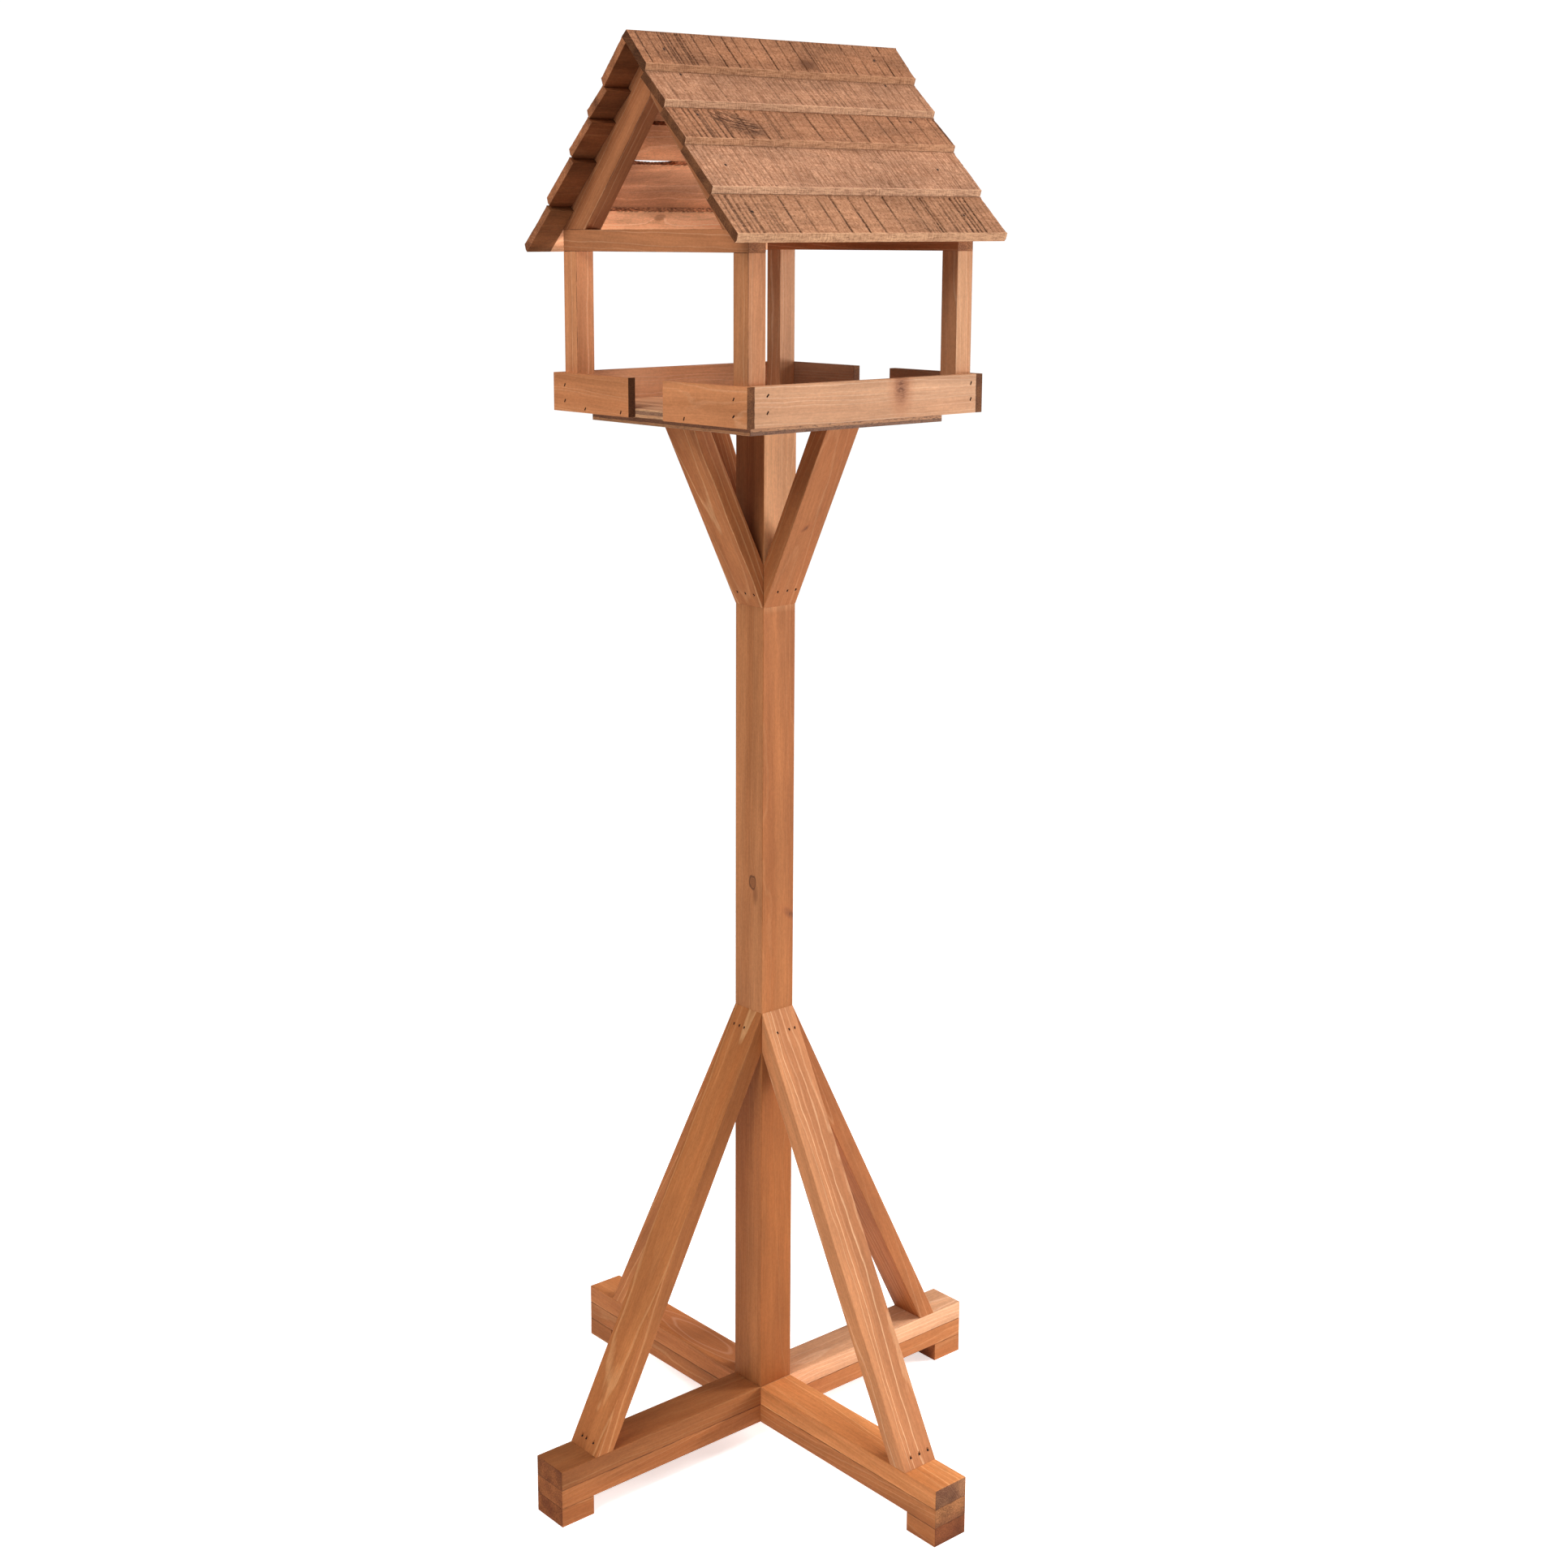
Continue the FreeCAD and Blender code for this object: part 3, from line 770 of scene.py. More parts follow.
@dataclass(frozen=True)
class WeatheredSteel:
    """The dull dark head of a wire brad."""

    name: str = "brad_steel"
    dark: Colour = (0.022, 0.009, 0.005)
    rusty: Colour = (0.065, 0.026, 0.012)
    metal: float = 0.3

    def material(self) -> bpy.types.Material:
        """Build the material."""
        material, sketch, shader = fresh_material(self.name)
        rust = sketch.noise(sketch.add("ShaderNodeTexCoord").outputs["Object"], 900.0, 3.0, 0.7)
        colour = sketch.blend(sketch.spread(rust, 0.4, 0.65, 0.0, 1.0), self.dark, self.rusty)
        dress(sketch, shader, colour, sketch.spread(rust, 0.3, 0.7, 0.7, 0.9))
        shader.inputs["Metallic"].default_value = self.metal
        return material


@dataclass
class Finishes:
    """Every finish of the table, made once."""

    planed: bpy.types.Material = field(init=False)
    end_grain: bpy.types.Material = field(init=False)
    board_end: bpy.types.Material = field(init=False)
    underside: bpy.types.Material = field(init=False)
    sawn: bpy.types.Material = field(init=False)
    ply_face: bpy.types.Material = field(init=False)
    ply_along: bpy.types.Material = field(init=False)
    ply_across: bpy.types.Material = field(init=False)
    steel: bpy.types.Material = field(init=False)

    def __post_init__(self) -> None:
        """Make the materials."""
        self.planed = StainedWood(
            "planed_stain", (0.53, 0.197, 0.072), (0.42, 0.142, 0.048), (0.78, 0.41, 0.20),
            pale_share=0.65).material()
        self.end_grain = StainedWood(
            "end_grain", (0.36, 0.145, 0.062), (0.20, 0.072, 0.034), (0.52, 0.25, 0.12),
            pale_share=0.7, line_share=0.7, blotch_share=0.35, streak_share=0.0, speckle_share=0.42,
            roughness=0.8, relief=0.3 * MM, rings_per_band=2.1, stain="end_tint").material()
        self.board_end = StainedWood(
            "board_end_grain", (0.36, 0.155, 0.075), (0.17, 0.068, 0.034), (0.50, 0.24, 0.13),
            pale_share=0.5, line_share=0.6, blotch_share=0.4, speckle_share=0.35, roughness=0.88,
            relief=0.6 * MM, rings_per_band=1.8, stain="end_tint").material()
        self.underside = StainedWood(
            "board_underside", (0.64, 0.28, 0.14), (0.48, 0.19, 0.085), (0.78, 0.42, 0.24),
            pale_share=0.4, line_share=0.5, blotch_share=0.5, fibre_share=0.1, streak_share=0.07,
            tooth_share=0.1, speckle_share=0.08, roughness=0.8, relief=0.5 * MM,
            stain="under_tint").material()
        self.sawn = SawnWood(
            "sawn_face", (0.62, 0.30, 0.17), (0.27, 0.105, 0.05), kerf=(0.07, 0.027, 0.0125)).material()
        self.ply_face = StainedWood(
            "ply_face", (0.50, 0.22, 0.10), (0.34, 0.13, 0.055), (0.62, 0.32, 0.17),
            pale_share=0.35, line_share=0.4, blotch_share=0.25, roughness=0.62).material()
        self.ply_along = PlyEdge("ply_edge_along", outer_long=True, torn=0.3, weight=1.1).material()
        self.ply_across = PlyEdge("ply_edge_across", outer_long=False, torn=0.6, weight=0.85).material()
        self.steel = WeatheredSteel().material()


def places_of(mesh: bpy.types.Mesh) -> np.ndarray:
    """The places of a mesh's vertices, one row each."""
    places = np.empty(len(mesh.vertices) * 3, np.float32)
    mesh.vertices.foreach_get("co", places)
    return places.reshape(-1, 3)


def write(mesh: bpy.types.Mesh, name: str, values: np.ndarray) -> None:
    """Store a number or a vector for each vertex on a mesh."""
    kind, key = ("FLOAT_VECTOR", "vector") if values.ndim == 2 else ("FLOAT", "value")
    layer = mesh.attributes.get(name) or mesh.attributes.new(name, kind, "POINT")
    layer.data.foreach_set(key, values.astype(np.float32).ravel())


@dataclass(frozen=True)
class Mark:
    """A dark bruise, or a figure of oval rings, turned by an angle from the fibres towards the width."""

    place: Point3
    long: float
    short: float
    turn: float = 0.0
    oval: bool = False


@dataclass(frozen=True)
class Shade:
    """Painted light and shade on one side of a piece, from some place along the fibres onward."""

    axis: int
    facing: int
    tint: Colour
    start: float = -10.0


@dataclass(frozen=True)
class Grain:
    """How one piece was cut from its log: which way the fibres run, where the pith lies, and its tint.

    The tint is partly the piece's own staining and partly painted light and shade.
    """

    origin: Vector
    along: Vector
    across: Vector
    pith: Point2 = (38 * MM, 55 * MM)
    drift: Point2 = (0.0, 0.0)
    start: float = 0.0
    ring: float = 4.5 * MM
    figure: float = 1.0
    tint: Colour = (1.0, 1.0, 1.0)
    # A tint past the middle along the fibres; on base_upper_long it is partly painted light
    far_tint: Colour | None = None
    end_tint: Colour = (1.0, 1.0, 1.0)
    knot: Point3 | None = None
    knot_sideways: bool = False
    bark: float = 1.0
    mark: Mark | None = None
    # Painted light and shade on single sides of the piece
    shades: tuple[Shade, ...] = ()

    def local(self, places: np.ndarray) -> np.ndarray:
        """Turn places in the model into places on the piece.

        Args:
            places: one row per vertex.

        Returns:
            Distance along the fibres, across the width and through the depth, one row per vertex.
        """
        along = np.array(self.along.normalized())
        across = np.array(self.across.normalized())
        free = places - np.array(self.origin)
        return np.stack([free @ along, free @ across, free @ np.cross(along, across)], 1)

    def stamp(self, mesh: bpy.types.Mesh) -> None:
        """Write the attributes that the finishes read on a mesh.

        Args:
            mesh: the piece's mesh.
        """
        own = self.local(places_of(mesh).astype(float))
        oval = bool(self.mark and self.mark.oval)
        fields = {"grain": self.in_log(own), "knot": self.from_knot(own), "mark": self.from_mark(own),
                  "tint": self.tints(own), "end_tint": np.tile(np.array(self.end_tint), (len(own), 1))}
        numbers = {"ring": self.ring, "figure": self.figure, "bark": self.bark, "oval": float(oval)}
        for name, number in numbers.items():
            fields[name] = np.full(len(own), number)
        for name, values in fields.items():
            write(mesh, name, values)

    def in_log(self, own: np.ndarray) -> np.ndarray:
        """Turn places on the piece into places in its log, whose pith may run askew to the piece.

        Args:
            own: places on the piece.

        Returns:
            Places in the log, one row each.
        """
        log = own + np.array((self.start, *self.pith))
        log[:, 1] += self.drift[0] * own[:, 0]
        log[:, 2] += self.drift[1] * own[:, 0]
        return log

    def from_knot(self, own: np.ndarray) -> np.ndarray:
        """Turn places on the piece into places from its knot.

        Args:
            own: places on the piece.

        Returns:
            Distances from the knot's middle, far off where there is none.
        """
        if self.knot is None:
            return np.full_like(own, FAR_OFF)
        knot = own - np.array(self.knot)
        return knot[:, (0, 2, 1)] if self.knot_sideways else knot

    def from_mark(self, own: np.ndarray) -> np.ndarray:
        """Turn places on the piece into places from its mark, in units of the mark's own size.

        Args:
            own: places on the piece.

        Returns:
            Distances from the mark's middle, far off where there is none.
        """
        if self.mark is None:
            return np.full_like(own, FAR_OFF)
        free = own - np.array(self.mark.place)
        turn = np.array(((math.cos(self.mark.turn), math.sin(self.mark.turn)),
                         (-math.sin(self.mark.turn), math.cos(self.mark.turn))))
        free[:, :2] = free[:, :2] @ turn.T
        return free / np.array((self.mark.long, self.mark.short, self.mark.long))

    def tints(self, own: np.ndarray) -> np.ndarray:
        """Work out the tint at each place on the piece, with its painted light and shade on far halves and on
        single sides.

        Args:
            own: places on the piece.

        Returns:
            One tint a row.
        """
        tint = np.tile(np.array(self.tint), (len(own), 1))
        if self.far_tint:
            tint[own[:, 0] > 0] = self.far_tint
        for shade in self.shades:
            side = own[:, shade.axis] * shade.facing
            tint[(side > side.max() - 0.05 * MM) & (own[:, 0] > shade.start)] = shade.tint
        return tint


@dataclass(frozen=True)
class Sawing:
    """How the pieces of one kind are cut from their logs.

    The pith lies between the two values of width_mm across the piece and of depth_mm through it, in
    millimetres, and on either side of it if both_sides says so.
    """

    width_mm: Point2
    depth_mm: Point2
    drift: Point2
    both_sides: bool = True
    ring: float = 4.5 * MM
    longest_start: float = 9.0

    def draw(self, chance: random.Random, origin: Vector, along: Vector, across: Vector) -> Grain:
        """Cut one piece from a log of its own.

        Args:
            chance: the source of small differences.
            origin: the piece's middle.
            along: the way of its fibres.
            across: the way of its width.

        Returns:
            The piece's grain.
        """
        wide = chance.uniform(*self.width_mm) * MM
        side = chance.choice((-1, 1)) if self.both_sides else 1
        deep = side * chance.uniform(*self.depth_mm) * MM
        drift = (chance.uniform(-self.drift[0], self.drift[0]), chance.uniform(-self.drift[1], self.drift[1]))
        start = chance.uniform(0, self.longest_start)
        return Grain(origin, along, across, (wide, deep), drift, start, self.ring)


def fresh_tree(name: str, numbers: tuple[str, ...]) -> tuple[bpy.types.NodeTree, Sketch]:
    """Start a Geometry Nodes tree that takes a shape, some numbers and a finish, and gives a shape.

    Args:
        name: the tree's name.
        numbers: the names of its number inputs.

    Returns:
        The tree and a sketch of it.
    """
    tree = bpy.data.node_groups.new(name, "GeometryNodeTree")
    tree.interface.new_socket("Geometry", in_out="INPUT", socket_type="NodeSocketGeometry")
    for number in numbers:
        tree.interface.new_socket(number, in_out="INPUT", socket_type="NodeSocketFloat")
    tree.interface.new_socket("Finish", in_out="INPUT", socket_type="NodeSocketMaterial")
    tree.interface.new_socket("Geometry", in_out="OUTPUT", socket_type="NodeSocketGeometry")
    return tree, Sketch(tree)


@dataclass
class BradKit:
    """The brads as the solids place them, their heads, and the slots that the heads leave in the timber."""

    head_size: Point2 = (2.5 * MM, 2.0 * MM)
    slit_size: Point2 = (3.8 * MM, 1.5 * MM)
    slits: tuple[str, ...] = ("brads_tray",)
    head_depth: float = 0.7 * MM
    shank_size: Point2 = (1.1 * MM, 12 * MM)
    slot_slack: Point2 = (1.08, 1.15)
    slot_depth: float = 4 * MM
    box_slack: float = 1.5 * MM
    head_turn: Point2 = (-0.4, 0.4)
    slit_turn: Point2 = (0.35, 0.95)
    seed: int = 7
    driven_up: tuple[str, ...] = ("brads_base",)
    groups: dict[str, Brads] = field(default_factory=dict)
    turns: dict[str, list[float]] = field(default_factory=dict)

    def read(self) -> None:
        """Find the head and the direction of each brad from the loose solids of the brad nodes."""
        chance = random.Random(self.seed)
        for name, node in sorted(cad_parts.items()):
            if not name.startswith("brads"):
                continue
            shell = bmesh.new()
            shell.from_mesh(node.data)
            bmesh.ops.remove_doubles(shell, verts=shell.verts, dist=0.01 * MM)
            self.groups[name] = [self.head_of(name, island) for island in self.islands(shell)]
            reach = self.slit_turn if name in self.slits else self.head_turn
            self.turns[name] = [chance.uniform(*reach) for _ in self.groups[name]]
            shell.free()

    @staticmethod
    def islands(shell: bmesh.types.BMesh) -> list[list[Vector]]:
        """Split a mesh into the corner lists of its separate solids.

        Args:
            shell: the mesh.

        Returns:
            One list of corners for each solid.
        """
        found: list[list[Vector]] = []
        left = set(shell.verts)
        while left:
            stack = [min(left, key=lambda vert: vert.index)]
            left.discard(stack[0])
            corners: list[Vector] = []
            while stack:
                vert = stack.pop()
                corners.append(vert.co.copy())
                for edge in vert.link_edges:
                    other = edge.other_vert(vert)
                    if other in left:
                        left.discard(other)
                        stack.append(other)
            found.append(corners)
        return found

    def head_of(self, group: str, corners: list[Vector]) -> tuple[Vector, Vector]:
        """Find which end of a brad is the head.

        Args:
            group: the brad's node.
            corners: the corners of the brad's bar.

        Returns:
            The middle of the head end, and the unit direction in which the brad was driven.
        """
        middle = sum(corners, Vector()) / len(corners)
        far = max(corners, key=lambda corner: (corner - middle).length)
        ends = [[c for c in corners if (c - middle).dot(far - middle) * s > 0] for s in (1, -1)]
        first, second = [sum(end, Vector()) / len(end) for end in ends]
        run = (second - first).normalized()
        if abs(run.z) < 0.3:
            head_first = math.hypot(first.x, first.y) > math.hypot(second.x, second.y)
        else:
            head_first = first.z > second.z
            under_tie = group == "brads_roof_frame" and abs(first.y) < 0.12
            if group in self.driven_up or under_tie:
                head_first = not head_first
        return (first, run) if head_first else (second, -run)

    @staticmethod
    def pose(run: Vector, turn: float) -> Matrix:
        """How a head lies: its length as upright as its face allows, then turned a little to the right.

        Args:
            run: the direction in which the brad was driven.
            turn: the turn in radians.

        Returns:
            The rotation that carries X to the head's length and Z to the run.
        """
        upright = Vector((1, 0, 0)) if abs(run.z) > 0.95 else Vector((0, 0, 1))
        length = (upright - run * upright.dot(run)).normalized()
        return Matrix((length, run.cross(length), run)).transposed() @ Matrix.Rotation(turn, 3, "Z")

    def size_of(self, group: str) -> Point2:
        """Length and width of the heads of a group, which lie as slits in the thin tray boards."""
        return self.slit_size if group in self.slits else self.head_size

    def slots_for(self, low: Vector, high: Vector) -> list[tuple[Vector, Vector, float, Point2]]:
        """Find the brads whose heads lie in a box.

        Args:
            low: the box's lowest corner.
            high: its highest corner.

        Returns:
            Heads, directions, turns and sizes.
        """
        slack = Vector((self.box_slack,) * 3)
        found = []
        for name, brads in self.groups.items():
            for (head, run), turn in zip(brads, self.turns[name]):
                if all(least <= place <= most for least, place, most in zip(low - slack, head, high + slack)):
                    found.append((head, run, turn, self.size_of(name)))
        return found

    def cutter(self, slots: list[tuple[Vector, Vector, float, Point2]]) -> bpy.types.Object:
        """One object holding the block that opens each slot.

        Args:
            slots: heads, directions, turns and sizes.

        Returns:
            The cutting object.
        """
        shell = bmesh.new()
        for head, run, turn, (length, width) in slots:
            spin = self.pose(run, turn).to_4x4()
            size = (length * self.slot_slack[0], width * self.slot_slack[1], self.slot_depth)
            centre = head + run * (self.head_depth - self.slot_depth / 2)
            place = Matrix.Translation(centre) @ spin @ Matrix.Diagonal((*size, 1.0))
            bmesh.ops.create_cube(shell, size=1.0, matrix=place)
        mesh = bpy.data.meshes.new("slot_cutter")
        shell.to_mesh(mesh)
        shell.free()
        tool = bpy.data.objects.new("slot_cutter", mesh)
        bpy.context.scene.collection.objects.link(tool)
        return tool

    def tree(self) -> bpy.types.NodeTree:
        """Build the Geometry Nodes tree that sets a T-shaped brad on each point.

        Returns:
            The tree; its inputs are the head's and shank's sizes and the finish.
        """
        head = ("Head length", "Head width", "Head depth")
        shank = ("Shank width", "Shank width", "Shank length")
        tree, sketch = fresh_tree("brads_on_points", (*head, *shank[1:]))
        source = sketch.add("NodeGroupInput").outputs
        points = sketch.add("GeometryNodeMeshToPoints")
        sketch.feed(points.inputs["Mesh"], source["Geometry"])
        blocks = sketch.add("GeometryNodeJoinGeometry")
        for sizes in (head, shank):
            cube = sketch.add("GeometryNodeMeshCube")
            size = sketch.add("ShaderNodeCombineXYZ")
            for socket, name in zip(size.inputs, sizes):
                sketch.feed(socket, source[name])
            sketch.feed(cube.inputs["Size"], size.outputs[0])
            move = sketch.add("GeometryNodeTransform")
            shift = sketch.add("ShaderNodeCombineXYZ")
            sketch.feed(shift.inputs["Z"], sketch.times(source[sizes[2]], 0.5))
            sketch.feed(move.inputs["Geometry"], cube.outputs["Mesh"])
            sketch.feed(move.inputs["Translation"], shift.outputs[0])
            tree.links.new(move.outputs[0], blocks.inputs[0])
        place = sketch.add("GeometryNodeInstanceOnPoints")
        sketch.feed(place.inputs["Points"], points.outputs[0])
        sketch.feed(place.inputs["Instance"], blocks.outputs[0])
        sketch.feed(place.inputs["Rotation"], sketch.stored("pose", "QUATERNION"))
        sketch.end_tree(place.outputs[0], source["Finish"])
        return tree

    def build(self, finishes: Finishes) -> None:
        """Make the heads and shanks of every group, each in place of its node.

        Args:
            finishes: the table's finishes.
        """
        tree = self.tree()
        for name, brads in self.groups.items():
            mesh = bpy.data.meshes.new(name + "_points")
            mesh.from_pydata([tuple(head) for head, _ in brads], [], [])
            layer = mesh.attributes.new("pose", "QUATERNION", "POINT")
            for row, (_, run), turn in zip(layer.data, brads, self.turns[name]):
                row.value = tuple(self.pose(run, turn).to_quaternion())
            holder = bpy.data.objects.new(name + "_dressed", mesh)
            bpy.context.scene.collection.objects.link(holder)
            length, width = self.size_of(name)
            shank_width, shank_length = self.shank_size
            values = {"Head length": length, "Head width": width, "Head depth": self.head_depth,
                      "Shank width": shank_width, "Shank length": shank_length, "Finish": finishes.steel}
            settle(applied(holder, tree, values), [name])


def applied(holder: bpy.types.Object, tree: bpy.types.NodeTree,
            values: dict[str, object]) -> bpy.types.Object:
    """Run a Geometry Nodes tree on an object and keep the plain mesh it gives.

    Args:
        holder: the object to run the tree on.
        tree: the tree.
        values: its inputs by name.

    Returns:
        The object, with the result as its mesh and no modifier.
    """
    modifier = holder.modifiers.new("shape", "NODES")
    modifier.node_group = tree
    for item in tree.interface.items_tree:
        if item.item_type == "SOCKET" and item.in_out == "INPUT" and item.name in values:
            modifier[item.identifier] = values[item.name]
    return baked(holder)


def baked(holder: bpy.types.Object) -> bpy.types.Object:
    """Turn an object's modifiers into a plain mesh and remove them.

    Args:
        holder: the object.

    Returns:
        The same object.
    """
    bpy.context.view_layer.update()
    graph = bpy.context.evaluated_depsgraph_get()
    mesh = bpy.data.meshes.new_from_object(holder.evaluated_get(graph))
    holder.modifiers.clear()
    holder.data = mesh
    return holder


def settle(piece: bpy.types.Object, nodes: list[str]) -> None:
    """Fix a finished piece to the table in place of its nodes, and report it.

    Args:
        piece: the piece.
        nodes: the nodes that it replaces.
    """
    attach(piece, "root")
    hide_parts(*nodes)
    LOG.info("%s: %d faces", piece.name, len(piece.data.polygons))


def linked(name: str, shell: bmesh.types.BMesh) -> bpy.types.Object:
    """Turn a shell into a linked object.

    Args:
        name: the object's name.
        shell: its shape, which is freed.

    Returns:
        The object.
    """
    mesh = bpy.data.meshes.new(name)
    shell.to_mesh(mesh)
    shell.free()
    piece = bpy.data.objects.new(name, mesh)
    bpy.context.scene.collection.objects.link(piece)
    return piece


def block_shell(low: Vector, high: Vector) -> bmesh.types.BMesh:
    """A plain block between two corners."""
    shell = bmesh.new()
    place = Matrix.Translation((low + high) / 2) @ Matrix.Diagonal((*(high - low), 1.0))
    bmesh.ops.create_cube(shell, size=1.0, matrix=place)
    return shell


def bisect(shell: bmesh.types.BMesh, place: Vector, normal: Vector) -> None:
    """Cut every face of a shell along a plane, leaving its shape as it is."""
    parts = shell.verts[:] + shell.edges[:] + shell.faces[:]
    bmesh.ops.bisect_plane(shell, geom=parts, plane_co=place, plane_no=normal)


def prism_shell(outline: list[Vector], move: Vector) -> bmesh.types.BMesh:
    """Push a closed outline along a vector.

    Args:
        outline: the outline's corners.
        move: the vector.

    Returns:
        The prism, its faces outward.
    """
    shell = bmesh.new()
    near = [shell.verts.new(corner) for corner in outline]
    far = [shell.verts.new(corner + move) for corner in outline]
    shell.faces.new(near)
    shell.faces.new(list(reversed(far)))
    for index in range(len(outline)):
        after = (index + 1) % len(outline)
        shell.faces.new((near[index], far[index], far[after], near[after]))
    bmesh.ops.recalc_face_normals(shell, faces=shell.faces)
    return shell


# Factors on the colours of the finishes, by how a node's name starts. On the faces: partly the pieces' own
# staining and partly painted light and shade, where the light reached a piece more or less strongly. On the
# end
# grain: staining. On the inner face of a roof board: painted light between the rafters, where light came in
# at the open side. On that face outside the rafters: painted shade under the gable overhangs
STAIN_AND_LIGHT_TINTS: dict[str, Colour] = {
    "post": (0.83, 0.79, 0.68),
    "base": (1.05, 1.03, 0.96),
    # Painted shade on the long upper bar's front arm, in the shade of the post
    "base_upper_long": (0.66, 0.64, 0.57),
    "base_lower": (0.80, 0.76, 0.68),
    # Painted light on the right half bar of the upper layer
    "base_upper_half_right": (1.3, 1.35, 1.25),
    "foot": (0.8, 0.74, 0.64),
    "brace_lower": (0.92, 0.87, 0.76),
    "brace_lower_right": (1.0, 1.1, 1.22),
    "brace_upper": (0.85, 0.82, 0.78),
    "brace_upper_right": (0.76, 0.72, 0.68),
    "tray_end": (1.12, 1.2, 1.35),
    # Painted shade on the far end boards, inside the tray
    "tray_end_back": (0.66, 0.94, 1.5),
    # Painted light on the tray floor and on the left side board's inner face, where light came in at the open
    # sides
    "floor_ply": (1.5, 1.9, 2.3),
    "tray_side_left": (1.36, 1.85, 2.7),
    "tray_side_right": (1.22, 1.74, 2.6),
    # Painted light on the corner posts, most on the front-left post and the back posts
    "corner_post": (0.97, 1.12, 1.33),
    "corner_post_front_left": (1.3, 1.5, 1.85),
    "corner_post_back": (0.92, 1.2, 1.65),
    "corner_post_back_right": (0.98, 1.26, 1.7),
    "tie_beam": (0.92, 0.98, 1.13),
    "rafter": (0.71, 0.72, 0.8),
    "roof_board_right_1": (0.66, 0.62, 0.55),
    "roof_board_right_2": (0.83, 0.87, 0.87),
    "roof_board_right_3": (0.74, 0.71, 0.65),
    "roof_board_right_4": (0.92, 0.99, 1.02),
    "roof_board_right_5": (0.80, 0.82, 0.78),
}
END_STAINS: dict[str, Colour] = {
    "foot_right": (0.62, 0.45, 0.36),
    "foot": (0.82, 0.62, 0.45),
    "base": (0.86, 0.68, 0.5),
    "base_lower_long": (1.0, 0.98, 0.85),
    "base_upper_half_right": (0.85, 0.92, 1.0),
    "roof_board_left": (1.15, 1.02, 0.9),
    "roof_board_right": (0.5, 0.45, 0.38),
    "tray": (0.5, 0.46, 0.4),
    "tray_side_right": (0.36, 0.33, 0.3),
    "tray_end_front_left": (0.36, 0.33, 0.3),
}
UNDER_PAINTED_LIGHT: dict[str, Colour] = {
    "roof_board_left_5": (1.95, 2.3, 2.55),
    "roof_board_left_4": (1.2, 1.28, 1.38),
}
OVERHANG_PAINTED_SHADE: dict[str, Colour] = {
    "roof_board": (0.38, 0.28, 0.19),
    "roof_board_left_5": (0.48, 0.41, 0.29),
}


def stain_of(node: str, factors_by_name: dict[str, Colour]) -> Colour:
    """A piece's factor in a table of staining and painted light and shade, by the longest name that fits."""
    fitting = [name for name in factors_by_name if node.startswith(name)]
    return factors_by_name[max(fitting, key=len)] if fitting else (1.0, 1.0, 1.0)


